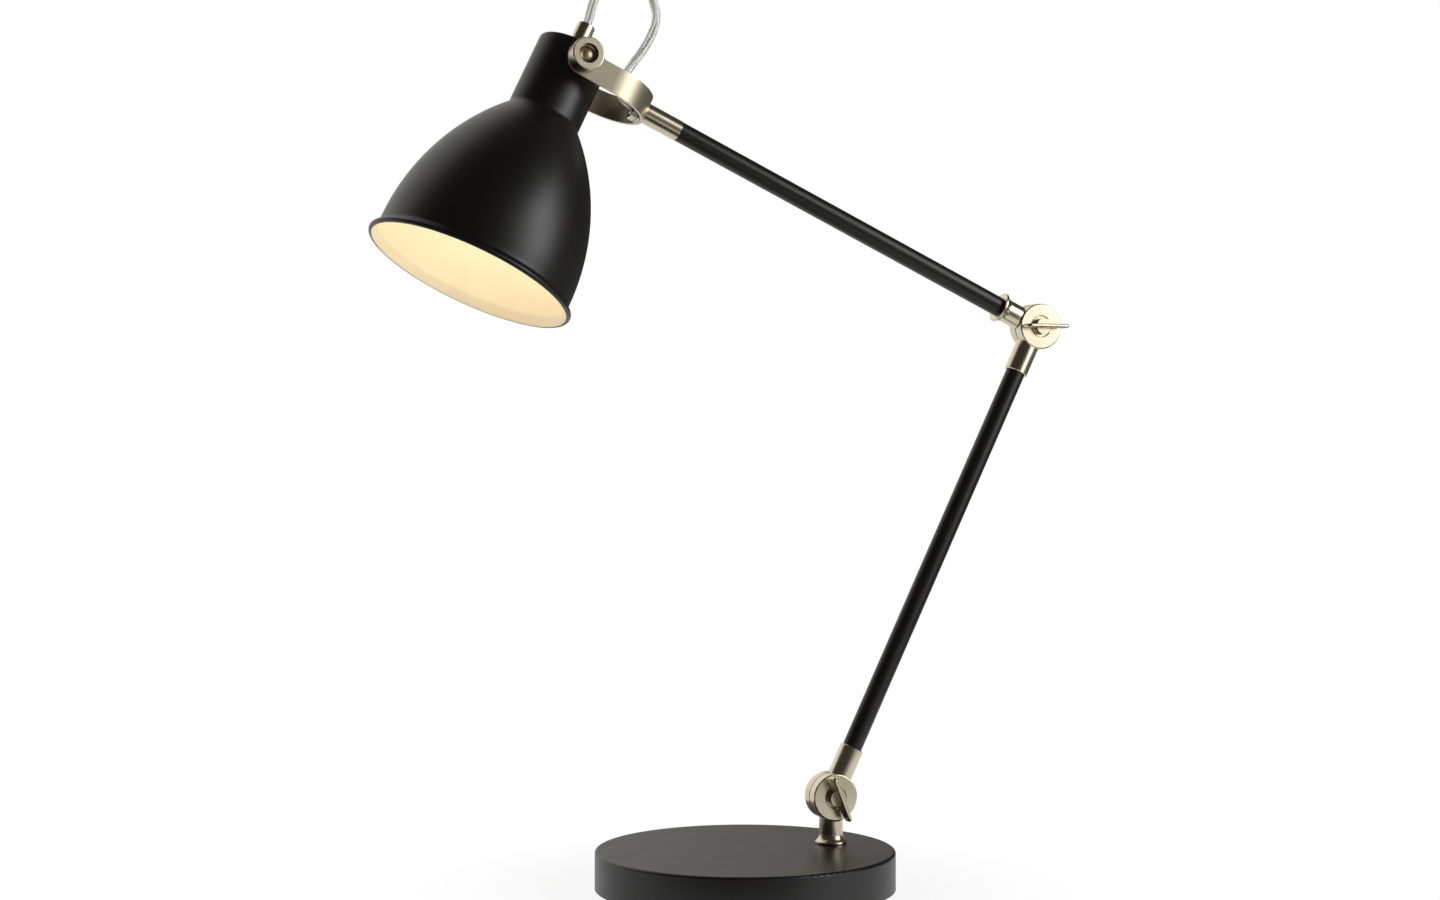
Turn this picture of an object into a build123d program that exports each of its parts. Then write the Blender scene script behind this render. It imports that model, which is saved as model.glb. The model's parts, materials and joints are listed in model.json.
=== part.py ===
"""Desk lamp with two jointed arms: a weighted round base, wing-screw knuckles, a yoke and a tilting bell shade.

Millimetres. The origin is the centre of the base's underside, +Z is up, +X runs from the base's centre to the
post, and the arms lie in the XZ plane. The knuckles' front faces point along -Y.
"""
import os
from math import acos, cos, degrees, pi, radians, sin, sqrt, tan

from build123d import *

# Pose that the lamp is modelled in, in degrees
LOWER_ARM_ANGLE = 64.0
UPPER_ARM_ANGLE = 155.0
HEAD_SWIVEL = 5.0
STRAP_SWIVEL = 0.0
SHADE_TILT = -1.5
LOWER_BLADE_ANGLE = 112.0
ELBOW_BLADE_ANGLE = 0.0

# Base
BASE_DIAMETER = 180.0
COVER_WALL = 1.2
COVER_EDGE_RADIUS = 1.6
PAD_INSET = 5.0
PAD_THICKNESS = 1.5
PLATE_THICKNESS = 2.0
PLATE_CLEARANCE = 0.2
WEIGHT_THICKNESS = 12.0
WEIGHT_GAP = 6.3
BOLT_ROOM = 1.5
POST_INSET = 34.0
BOSS_DIAMETER = 12.0
BOSS_INSET = 17.5
BOSS_START_ANGLE = 60.0
PLATE_SCREW_COUNT = 3
PLATE_SCREW_DIAMETER = 4.0
PLATE_SCREW_HEAD = 7.2
PLATE_SCREW_LENGTH = 8.5
PLATE_SCREW_END = 0.5
COUNTERSINK_ANGLE = 90.0
GLAND_BORE = 6.6
GLAND_WALL = 1.2
GLAND_FLANGE_WIDTH = 1.5
GLAND_FLANGE_THICKNESS = 1.6
GLAND_DEPTH = 4.0
GLAND_GAP = 0.2

# Knuckles
DISC_DIAMETER = 28.4
DISC_THICKNESS = 7.2
DISC_EDGE_RADIUS = 0.8
KNUCKLE_GAP = 0.5
FRICTION_THICKNESS = 0.8
FRICTION_INSET = 0.5
FRICTION_WIDTH = 2.7
POCKET_INSET = 0.5
POCKET_WALL = 2.3
POCKET_DEPTH = 3.2
STUB_SHOULDER = 2.6
FLARE_LENGTH = 4.4
LIP_OVERHANG = 2.3
LIP_THICKNESS = 1.6
LIP_EDGE_RADIUS = 0.6
FERRULE_WALL = 1.15
FERRULE_SHOULDER = 3.8
FERRULE_CHAMFER = 0.4
SOCKET_DEPTH = 14.0
SOCKET_CLEARANCE = 0.05

# Wing screws
CLAMP_DIAMETER = 6.0
CLAMP_CLEARANCE = 0.05
CLAMP_END_SETBACK = 0.4
WING_FLANGE = 13.0
WING_FLANGE_THICKNESS = 1.5
WING_SEAT_DEPTH = 2.3
WING_SEAT_GAP = 0.6
WING_HUB = 10.0
WING_HUB_LENGTH = 5.0
WING_SPAN = 29.0
WING_REACH = 11.0
WING_THICKNESS = 2.4
WING_TIP_HEIGHT = 6.5
WING_TIP_RADIUS = 2.5
WING_EDGE_RADIUS = 0.9

# Arms and the flex inside them
LOWER_ARM_LENGTH = 320.0
UPPER_ARM_LENGTH = 340.0
TUBE_WALL = 0.95
CORD_DIAMETER = 5.3
CORD_CLEARANCE = 0.1
FLEX_OVERLAP = 1.5

# Hollow bolts, their nuts and washers
BOLT_WALL = 2.25
BOLT_CLEARANCE = 0.05
BOLT_ENGAGEMENT = 12.0
BOLT_PROTRUSION = 1.0
BOLT_NUT_WALL = 1.95
BOLT_NUT_HEIGHT = 4.0
BOLT_WASHER_WIDTH = 3.45
BOLT_WASHER_THICKNESS = 1.0
NUT_SIDES = 6

# Yoke
YOKE_REACH = 53.5
STRAP_WIDTH = 15.0
STRAP_THICKNESS = 1.8
SEAT_WALL = 2.25
EYE_GAP = 0.3
BUSH_WALL = 1.15
BUSH_LENGTH = 23.0

# Shade: heights are measured along its axis from the tilt pivot
NECK_TOP = 12.3
NECK_BOTTOM = 33.7
NECK_EDGE_RADIUS = 1.5
CREASE_RADIUS = 5.0
SHADE_WALL = 1.0
BELL_RADIUS = 137.0
BELL_ANGLE = 43.0
SKIRT_HEIGHT = 3.9
FLARE_HEIGHT = 6.6
RIM_FLARE = 3.7
BEAD_DIAMETER = 3.2

# Tilt pivots
PIVOT_DIAMETER = 4.0
PIVOT_CLEARANCE = 0.05
PIVOT_ROOM = 8.3
PIVOT_END = 0.6
PIVOT_NUT_WALL = 1.45
PIVOT_NUT_HEIGHT = 3.2
PIVOT_HEAD_OVERHANG = 3.2
PIVOT_HEAD_HEIGHT = 3.4
SPACER_WALL = 3.45
SPACER_LENGTH = 7.1
CUP_WALL = 3.85
CUP_FLOOR = 4.6
CUP_RECESS_GAP = 0.55
CUP_RECESS_DEPTH = 4.9
CUP_EDGE_RADIUS = 0.7

# Cord grip and the cord's ends
GRIP_SHOULDER = 0.35
GRIP_HEIGHT = 17.7
GRIP_NUT_HEIGHT = 3.0
GRIP_EDGE_RADIUS = 0.6
CORD_ENTRY = 8.0
CORD_LEAD = 3.0
CORD_TAIL = 1.7

# Lampholder and bulb
HOLDER_CAP_DIAMETER = 25.0
HOLDER_CAP_LENGTH = 19.0
HOLDER_CAP_ROOF = 9.0
HOLDER_DIAMETER = 28.0
HOLDER_WALL = 2.0
HOLDER_FLOOR = 5.0
HOLDER_FIT = 0.05
WIRE_HOLE_COUNT = 2
WIRE_HOLE_DIAMETER = 2.4
WIRE_HOLE_SPACING = 10.4
SLEEVE_WALL = 0.6
SLEEVE_ROOM = 4.0
SLEEVE_SETBACK = 1.0
CONTACT_DIAMETER = 6.0
CONTACT_HEIGHT = 3.0
BULB_CAP_DIAMETER = 13.9
BULB_CAP_LENGTH = 25.0
BULB_CAP_CLEARANCE = 0.1
BULB_CAP_WALL = 0.4
BULB_CAP_ROOF = 3.0
BULB_CAP_EXPOSED = 0.6
BULB_TIP_DIAMETER = 5.0
BULB_TIP_HEIGHT = 1.6
BULB_DIAMETER = 45.0
BULB_LENGTH = 53.0
BULB_NECK_OVERLAP = 10.0
BULB_NECK_CLEARANCE = 0.1
BULB_SHOULDER_ANGLE = 50.0
BULB_GLASS_WALL = 0.8

# Route of the head's cord in the yoke's plane: (along the arm towards the elbow, across it, upwards)
CORD_ROUTE = [
    (-1.3, 43.0),
    (-1.5, 59.1),
    (5.2, 68.6),
    (16.3, 72.5),
    (27.5, 69.3),
    (37.3, 57.3),
    (39.0, 46.2),
    (37.3, 31.3),
    (33.9, 19.4),
    (32.4, 7.4),
    (37.6, 0.0),
]
CORD_BEND_SHARE = 0.45

# Radii of the round pieces that go over one another: cord, bolt, tube, ferrule
cord_bore = CORD_DIAMETER / 2 + CORD_CLEARANCE
bolt_radius = cord_bore + BOLT_WALL
bolt_hole = bolt_radius + BOLT_CLEARANCE
bolt_washer_radius = bolt_hole + BOLT_WASHER_WIDTH
bolt_nut_inradius = bolt_hole + BOLT_NUT_WALL
tube_radius = bolt_hole + TUBE_WALL
tube_socket = tube_radius + SOCKET_CLEARANCE
barrel_radius = tube_socket + FERRULE_WALL
lip_radius = barrel_radius + LIP_OVERHANG
bush_radius = bolt_hole + BUSH_WALL
grip_radius = bolt_radius + GRIP_SHOULDER

# Heights in the base
base_radius = BASE_DIAMETER / 2
post_offset = base_radius - POST_INSET
weight_radius = base_radius - COVER_WALL - WEIGHT_GAP
boss_circle = weight_radius - BOSS_INSET
plate_top = PAD_THICKNESS + PLATE_THICKNESS
base_bolt_level = plate_top + BOLT_ROOM
base_nut_level = base_bolt_level + BOLT_PROTRUSION
base_washer_level = base_nut_level + BOLT_NUT_HEIGHT
weight_underside = base_washer_level + BOLT_WASHER_THICKNESS
cover_underside = weight_underside + WEIGHT_THICKNESS
base_top = cover_underside + COVER_WALL
gland_height = (plate_top + cover_underside) / 2
gland_radius = GLAND_BORE / 2 + GLAND_WALL
plate_screw_hole = PLATE_SCREW_DIAMETER / 2 + BOLT_CLEARANCE

# Reaches and radii in the knuckles
disc_radius = DISC_DIAMETER / 2
knuckle_half = DISC_THICKNESS + FRICTION_THICKNESS / 2
wing_seat = knuckle_half - WING_SEAT_DEPTH
stub_length = disc_radius + STUB_SHOULDER + BOLT_ENGAGEMENT
ferrule_length = disc_radius + FERRULE_SHOULDER + SOCKET_DEPTH
friction_outer = disc_radius - FRICTION_INSET
friction_inner = friction_outer - FRICTION_WIDTH
pocket_outer = friction_inner - POCKET_INSET
pocket_inner = CLAMP_DIAMETER / 2 + POCKET_WALL

# Pivots and frames of the moving pieces
FRONT = Vector(0, -1, 0)
UP = Vector(0, 0, 1)
FORWARD = Vector(1, 0, 0)
lower_direction = FORWARD.rotate(Axis.Y, -LOWER_ARM_ANGLE)
upper_direction = FORWARD.rotate(Axis.Y, -UPPER_ARM_ANGLE)
lower_pivot = Vector(post_offset, 0, base_top + stub_length)
elbow = lower_pivot + lower_direction * LOWER_ARM_LENGTH
head_pivot = elbow + upper_direction * UPPER_ARM_LENGTH
tilt_direction = FRONT.rotate(Axis((0, 0, 0), upper_direction), HEAD_SWIVEL)
strap_direction = FRONT.rotate(Axis((0, 0, 0), upper_direction), STRAP_SWIVEL)

post_knuckle = Plane(origin=lower_pivot, x_dir=-UP, z_dir=FRONT)
lower_knuckle = Plane(origin=lower_pivot, x_dir=lower_direction, z_dir=FRONT)
elbow_lower_knuckle = Plane(origin=elbow, x_dir=-lower_direction, z_dir=FRONT)
elbow_upper_knuckle = Plane(origin=elbow, x_dir=upper_direction, z_dir=FRONT)
lower_arm = Plane(origin=lower_pivot, x_dir=FRONT, z_dir=lower_direction)
upper_arm = Plane(origin=elbow, x_dir=FRONT, z_dir=upper_direction)
yoke_frame = Plane(origin=head_pivot, x_dir=-upper_direction, z_dir=tilt_direction)
strap_frame = Plane(origin=head_pivot, x_dir=-upper_direction, z_dir=strap_direction)
yoke_section = Plane(origin=head_pivot, x_dir=-upper_direction, z_dir=strap_frame.y_dir)
yoke_arm = Plane(origin=head_pivot, x_dir=tilt_direction, z_dir=-upper_direction)
shade_side = -upper_direction.rotate(Axis((0, 0, 0), tilt_direction), SHADE_TILT)
shade_frame = Plane(origin=head_pivot, x_dir=shade_side, z_dir=tilt_direction)
shade_axis = Axis(head_pivot, shade_frame.y_dir)
shade_stack = Plane(origin=head_pivot, x_dir=tilt_direction, z_dir=shade_frame.y_dir)

# Shade: the bell is one arc that starts at the neck and ends upright at the skirt
neck_inner = HOLDER_CAP_DIAMETER / 2 + PIVOT_ROOM
neck_radius = neck_inner + SHADE_WALL
neck_ceiling = NECK_TOP - SHADE_WALL
bell_centre = (
    neck_radius - BELL_RADIUS * cos(radians(BELL_ANGLE)),
    -NECK_BOTTOM - BELL_RADIUS * sin(radians(BELL_ANGLE)),
)
bell_outer = bell_centre[0] + BELL_RADIUS
bell_inner = bell_outer - SHADE_WALL
bell_inner_radius = BELL_RADIUS - SHADE_WALL
bell_inner_angle = degrees(acos((neck_inner - bell_centre[0]) / bell_inner_radius))
flare_top = bell_centre[1] - SKIRT_HEIGHT
neck_seam = NECK_BOTTOM - CREASE_RADIUS * tan(radians(BELL_ANGLE / 2))
bead_radius = BEAD_DIAMETER / 2
bead_centre = (bell_outer + RIM_FLARE - bead_radius, flare_top - FLARE_HEIGHT + bead_radius)

# Yoke: its strap stands off the neck by the pivots' spacers, and its eyes are faced square to the pivots
yoke_bend_inner = neck_radius + SPACER_LENGTH
yoke_bend_outer = yoke_bend_inner + STRAP_THICKNESS
yoke_bend_centre = YOKE_REACH - yoke_bend_outer
yoke_seat = yoke_bend_centre + sqrt(yoke_bend_inner**2 - bolt_washer_radius**2)
yoke_nut_top = yoke_seat - BOLT_WASHER_THICKNESS - BOLT_NUT_HEIGHT
yoke_bolt_end = yoke_nut_top - BOLT_PROTRUSION
bush_end = YOKE_REACH + BUSH_LENGTH
cord_end = yoke_bolt_end + CORD_TAIL

# Tilt pivots: one on each side of the neck
pivot_sides = [
    Plane(origin=head_pivot, x_dir=shade_frame.x_dir, z_dir=tilt_direction * side) for side in (1, -1)
]
pivot_radius = PIVOT_DIAMETER / 2
pivot_hole = pivot_radius + PIVOT_CLEARANCE
pivot_nut_inradius = pivot_hole + PIVOT_NUT_WALL
pivot_nut_outer = sqrt(neck_inner**2 - (pivot_nut_inradius / cos(pi / NUT_SIDES)) ** 2)
pivot_nut_inner = pivot_nut_outer - PIVOT_NUT_HEIGHT
pivot_head_radius = pivot_radius + PIVOT_HEAD_OVERHANG
cup_recess_radius = pivot_head_radius + CUP_RECESS_GAP
cup_radius = cup_recess_radius + CUP_WALL
cup_floor = yoke_bend_outer + CUP_FLOOR
spacer_radius = pivot_hole + SPACER_WALL

# Lampholder: heights down from the neck's ceiling
grip_top = NECK_TOP + GRIP_HEIGHT
grip_thread_end = neck_ceiling - HOLDER_CAP_ROOF
sleeve_inner = BULB_CAP_DIAMETER / 2 + BULB_CAP_CLEARANCE
holder_bore = sleeve_inner + SLEEVE_WALL + HOLDER_FIT
holder_floor = neck_ceiling - HOLDER_CAP_LENGTH
contact_seat = holder_floor - HOLDER_FLOOR
bulb_tip = contact_seat - CONTACT_HEIGHT
bulb_cap_top = bulb_tip - BULB_TIP_HEIGHT
bulb_cap_end = bulb_cap_top - BULB_CAP_LENGTH
holder_end = bulb_cap_end + BULB_CAP_EXPOSED
sleeve_length = contact_seat - holder_end - SLEEVE_SETBACK - SLEEVE_ROOM

os.makedirs("parts", exist_ok=True)


def save(name, part):
    """Label a finished piece and write it to its own file."""
    part.label = name
    export_step(part, f"parts/{name}.step")


# Base
with BuildPart() as base_pad:
    with BuildSketch():
        Circle(base_radius - PAD_INSET)
    extrude(amount=PAD_THICKNESS)
save("base_pad", base_pad.part)

with BuildPart() as base_cover:
    with BuildSketch(Plane.XY.offset(PAD_THICKNESS)):
        Circle(base_radius)
    extrude(amount=base_top - PAD_THICKNESS)
    fillet(base_cover.edges().sort_by(Axis.Z)[-1], COVER_EDGE_RADIUS)
    offset(amount=-COVER_WALL, openings=base_cover.faces().sort_by(Axis.Z)[0])
    with Locations((post_offset, 0, base_top)):
        Hole(bolt_hole, depth=COVER_WALL)
    with BuildSketch(Plane.XZ.offset(-base_radius)):
        with Locations((0, gland_height)):
            Circle(gland_radius + GLAND_GAP)
    extrude(amount=GLAND_DEPTH, mode=Mode.SUBTRACT)
save("base_cover", base_cover.part)

with BuildPart() as base_plate:
    with BuildSketch(Plane.XY.offset(PAD_THICKNESS)):
        Circle(base_radius - COVER_WALL - PLATE_CLEARANCE)
    extrude(amount=PLATE_THICKNESS)
    with Locations(Plane.XY.offset(PAD_THICKNESS).rotated((180, 0, 0))):
        with PolarLocations(boss_circle, PLATE_SCREW_COUNT, start_angle=BOSS_START_ANGLE):
            CounterSinkHole(
                plate_screw_hole,
                PLATE_SCREW_HEAD / 2 + BOLT_CLEARANCE,
                depth=PLATE_THICKNESS,
                counter_sink_angle=COUNTERSINK_ANGLE,
            )
save("base_plate", base_plate.part)

with BuildPart() as base_weight:
    with BuildSketch(Plane.XY.offset(weight_underside)):
        Circle(weight_radius)
    extrude(amount=WEIGHT_THICKNESS)
    with BuildSketch(Plane.XY.offset(plate_top)):
        with PolarLocations(boss_circle, PLATE_SCREW_COUNT, start_angle=BOSS_START_ANGLE):
            Circle(BOSS_DIAMETER / 2)
    extrude(amount=weight_underside - plate_top)
    with BuildSketch(Plane.XY.offset(plate_top)):
        with PolarLocations(boss_circle, PLATE_SCREW_COUNT, start_angle=BOSS_START_ANGLE):
            Circle(plate_screw_hole)
    extrude(amount=PLATE_SCREW_LENGTH, mode=Mode.SUBTRACT)
    with Locations((post_offset, 0, cover_underside)):
        Hole(bolt_hole, depth=WEIGHT_THICKNESS)
save("base_weight", base_weight.part)

with BuildPart() as base_plate_screws:
    screw_head_height = (PLATE_SCREW_HEAD - PLATE_SCREW_DIAMETER) / 2 / tan(radians(COUNTERSINK_ANGLE / 2))
    with Locations((0, 0, PAD_THICKNESS)):
        with PolarLocations(boss_circle, PLATE_SCREW_COUNT, start_angle=BOSS_START_ANGLE):
            Cone(
                PLATE_SCREW_HEAD / 2,
                PLATE_SCREW_DIAMETER / 2,
                screw_head_height,
                align=(Align.CENTER, Align.CENTER, Align.MIN),
            )
            Cylinder(
                PLATE_SCREW_DIAMETER / 2,
                PLATE_THICKNESS + PLATE_SCREW_LENGTH - PLATE_SCREW_END,
                align=(Align.CENTER, Align.CENTER, Align.MIN),
            )
save("base_plate_screws", base_plate_screws.part)

with BuildPart() as cord_gland:
    with BuildSketch(Plane.XZ.offset(-base_radius)):
        with Locations((0, gland_height)):
            Circle(gland_radius + GLAND_FLANGE_WIDTH)
    extrude(amount=-GLAND_FLANGE_THICKNESS)
    with BuildSketch(Plane.XZ.offset(-base_radius)):
        with Locations((0, gland_height)):
            Circle(gland_radius)
    extrude(amount=GLAND_DEPTH)
    with BuildSketch(Plane.XZ.offset(-base_radius)):
        with Locations((0, gland_height)):
            Circle(GLAND_BORE / 2)
    extrude(amount=max(GLAND_DEPTH, GLAND_FLANGE_THICKNESS), both=True, mode=Mode.SUBTRACT)
save("cord_gland", cord_gland.part)


def hollow_bolt(start, length):
    """Hollow threaded bolt from a plane along its normal, with the cord's bore through it."""
    with BuildPart() as bolt:
        with BuildSketch(start):
            Circle(bolt_radius)
            Circle(cord_bore, mode=Mode.SUBTRACT)
        extrude(amount=length)
    return bolt.part


def bolt_washer(start):
    """Plain washer for a hollow bolt, from a plane along its normal."""
    with BuildPart() as washer:
        with BuildSketch(start):
            Circle(bolt_washer_radius)
            Circle(bolt_hole, mode=Mode.SUBTRACT)
        extrude(amount=BOLT_WASHER_THICKNESS)
    return washer.part


def bolt_nut(start, height):
    """Hexagon nut for a hollow bolt, from a plane along its normal."""
    with BuildPart() as nut:
        with BuildSketch(start):
            RegularPolygon(bolt_nut_inradius, NUT_SIDES, major_radius=False)
            Circle(bolt_hole, mode=Mode.SUBTRACT)
        extrude(amount=height)
    return nut.part


post_axis = Plane(origin=(post_offset, 0, 0))
base_bolt_length = base_top + BOLT_ENGAGEMENT - base_bolt_level
save("base_bolt", hollow_bolt(post_axis.offset(base_bolt_level), base_bolt_length))
save("base_washer", bolt_washer(post_axis.offset(base_washer_level)))
save("base_nut", bolt_nut(post_axis.offset(base_nut_level), BOLT_NUT_HEIGHT))


# Knuckles: each frame has x along its stub or ferrule and z towards the front
def knuckle_disc_and_barrel(frame, side, barrel, barrel_length, socket_radius, socket_depth):
    """One half of a knuckle: a disc with a barrel, a pocket and a passage for the flex, and its two sockets.

    side is 1 for the front half and -1 for the rear half. barrel is the barrel's profile, to be turned about x.
    """
    inner_face = frame.offset(side * FRICTION_THICKNESS / 2)
    end_face = Plane(origin=frame.origin + frame.x_dir * barrel_length, x_dir=frame.z_dir, z_dir=-frame.x_dir)
    with BuildPart() as half:
        with BuildSketch(inner_face):
            Circle(disc_radius)
        extrude(amount=side * DISC_THICKNESS)
        fillet(half.edges().sort_by(Axis(frame.origin, frame.z_dir * side))[-1], DISC_EDGE_RADIUS)
        add(frame * barrel)
        revolve(axis=Axis(frame.origin, frame.x_dir))
        with BuildSketch(inner_face):
            Circle(disc_radius + KNUCKLE_GAP)
        extrude(amount=-side * 2 * barrel_radius, mode=Mode.SUBTRACT)
        with BuildSketch(inner_face):
            Circle(CLAMP_DIAMETER / 2 + CLAMP_CLEARANCE)
        extrude(amount=side * DISC_THICKNESS, mode=Mode.SUBTRACT)
        with BuildSketch(inner_face):
            Circle(pocket_outer)
            Circle(pocket_inner, mode=Mode.SUBTRACT)
        extrude(amount=side * POCKET_DEPTH, mode=Mode.SUBTRACT)
        with BuildSketch(end_face):
            Circle(cord_bore)
        extrude(amount=barrel_length - (pocket_outer + pocket_inner) / 2, mode=Mode.SUBTRACT)
        with BuildSketch(end_face):
            Circle(socket_radius)
        extrude(amount=socket_depth, mode=Mode.SUBTRACT)
    return half.part


def rear_half(frame):
    """Rear half of a knuckle: its stub flares into a lip and is tapped for a hollow bolt."""
    lip_start = stub_length - LIP_THICKNESS
    flare_start = lip_start - FLARE_LENGTH
    with BuildSketch() as stub:
        with BuildLine():
            Polyline((stub_length, lip_radius), (stub_length, 0), (0, 0), (0, barrel_radius))
            Line((0, barrel_radius), (flare_start, barrel_radius))
            TangentArc((flare_start, barrel_radius), (lip_start, lip_radius), tangent=(1, 0))
            Line((lip_start, lip_radius), (stub_length, lip_radius))
        make_face()
        fillet(stub.vertices().group_by(Axis.Y)[-1], LIP_EDGE_RADIUS)
    return knuckle_disc_and_barrel(frame, -1, stub.sketch, stub_length, bolt_hole, BOLT_ENGAGEMENT)


def front_half(frame):
    """Front half of a knuckle: a plain ferrule for the lower tube and a disc with a seat for the wing screw."""
    with BuildSketch() as ferrule:
        Rectangle(ferrule_length, barrel_radius, align=Align.MIN)
        outer_corner = ferrule.vertices().sort_by(Axis.X).sort_by(Axis.Y)[-1]
        chamfer(outer_corner, FERRULE_CHAMFER)
    with BuildPart() as half:
        add(knuckle_disc_and_barrel(frame, 1, ferrule.sketch, ferrule_length, tube_socket, SOCKET_DEPTH))
        with BuildSketch(frame.offset(wing_seat)):
            Circle(WING_FLANGE / 2 + WING_SEAT_GAP)
        extrude(amount=WING_SEAT_DEPTH, mode=Mode.SUBTRACT)
    return half.part


def friction_washer(frame):
    """Fibre ring that keeps the two discs of a knuckle apart and makes them grip."""
    with BuildPart() as washer:
        with BuildSketch(frame.offset(-FRICTION_THICKNESS / 2)):
            Circle(friction_outer)
            Circle(friction_inner, mode=Mode.SUBTRACT)
        extrude(amount=FRICTION_THICKNESS)
    return washer.part


def wing_screw(frame, blade_angle):
    """Wing screw: shank through both discs, flange, hub and a flat two-winged blade with rounded edges."""
    blade_direction = FORWARD.rotate(Axis.Y, -blade_angle)
    blade_normal = blade_direction.cross(frame.z_dir)
    blade_plane = Plane(origin=frame.origin, x_dir=blade_direction, z_dir=blade_normal)
    hub_base = wing_seat + WING_FLANGE_THICKNESS
    hub_end = hub_base + WING_HUB_LENGTH
    wing_edge = knuckle_half + WING_REACH
    tip_base = wing_edge - WING_TIP_HEIGHT
    with BuildPart() as wings:
        with BuildSketch(blade_plane) as blade:
            with BuildLine():
                Polyline(
                    (-WING_HUB / 2, knuckle_half),
                    (WING_HUB / 2, knuckle_half),
                    (WING_SPAN / 2, tip_base),
                    (WING_SPAN / 2, wing_edge),
                    (-WING_SPAN / 2, wing_edge),
                    (-WING_SPAN / 2, tip_base),
                    close=True,
                )
            make_face()
            fillet(blade.vertices().group_by(Axis.Y)[-1], WING_TIP_RADIUS)
        extrude(amount=WING_THICKNESS / 2, both=True)
        outlines = [face.edges() for face in wings.faces().filter_by(Axis(frame.origin, blade_normal))]
        fillet([edge for outline in outlines for edge in outline], WING_EDGE_RADIUS)
    with BuildPart() as screw:
        with BuildSketch(frame.offset(CLAMP_END_SETBACK - knuckle_half)):
            Circle(CLAMP_DIAMETER / 2)
        extrude(amount=hub_end + knuckle_half - CLAMP_END_SETBACK)
        with BuildSketch(frame.offset(wing_seat)):
            Circle(WING_FLANGE / 2)
        extrude(amount=WING_FLANGE_THICKNESS)
        with BuildSketch(frame.offset(hub_base)):
            Circle(WING_HUB / 2)
        extrude(amount=WING_HUB_LENGTH)
        add(wings.part)
    return screw.part


save("base_post", rear_half(post_knuckle))
save("lower_friction_washer", friction_washer(lower_knuckle))
save("lower_ferrule", front_half(lower_knuckle))
save("lower_wing_screw", wing_screw(post_knuckle, LOWER_BLADE_ANGLE))
save("elbow_ferrule", front_half(elbow_lower_knuckle))
save("elbow_friction_washer", friction_washer(elbow_lower_knuckle))
save("elbow_stub", rear_half(elbow_upper_knuckle))
save("elbow_wing_screw", wing_screw(elbow_upper_knuckle, ELBOW_BLADE_ANGLE))


# Arms
def round_bar(start, length, radius, bore=None):
    """Round bar or tube from a plane along its normal."""
    with BuildPart() as bar:
        with BuildSketch(start):
            Circle(radius)
            if bore:
                Circle(bore, mode=Mode.SUBTRACT)
        extrude(amount=length)
    return bar.part


lower_tube_start = ferrule_length - SOCKET_DEPTH
lower_tube_length = LOWER_ARM_LENGTH - 2 * lower_tube_start
save("lower_arm_tube", round_bar(lower_arm.offset(lower_tube_start), lower_tube_length, tube_radius, bolt_hole))
save(
    "lower_arm_flex",
    round_bar(
        lower_arm.offset(lower_tube_start - FLEX_OVERLAP), lower_tube_length + 2 * FLEX_OVERLAP, CORD_DIAMETER / 2
    ),
)

upper_tube_length = UPPER_ARM_LENGTH - bush_end - stub_length
save("upper_arm_tube", round_bar(upper_arm.offset(stub_length), upper_tube_length, tube_radius, bolt_hole))
save("elbow_bolt", hollow_bolt(upper_arm.offset(stub_length - BOLT_ENGAGEMENT), 2 * BOLT_ENGAGEMENT))
upper_flex_start = stub_length - BOLT_ENGAGEMENT - FLEX_OVERLAP
save(
    "upper_arm_flex",
    round_bar(
        upper_arm.offset(upper_flex_start), UPPER_ARM_LENGTH - cord_end - upper_flex_start, CORD_DIAMETER / 2
    ),
)

# Yoke, measured from the tilt pivot back along the upper arm
save("yoke_bush", round_bar(yoke_arm.offset(YOKE_REACH), BUSH_LENGTH, bush_radius, bolt_hole))
save("yoke_bolt", hollow_bolt(yoke_arm.offset(yoke_bolt_end), bush_end + BOLT_ENGAGEMENT - yoke_bolt_end))
save("yoke_washer", bolt_washer(yoke_arm.offset(yoke_seat - BOLT_WASHER_THICKNESS)))
save("yoke_nut", bolt_nut(yoke_arm.offset(yoke_nut_top), BOLT_NUT_HEIGHT))

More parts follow.
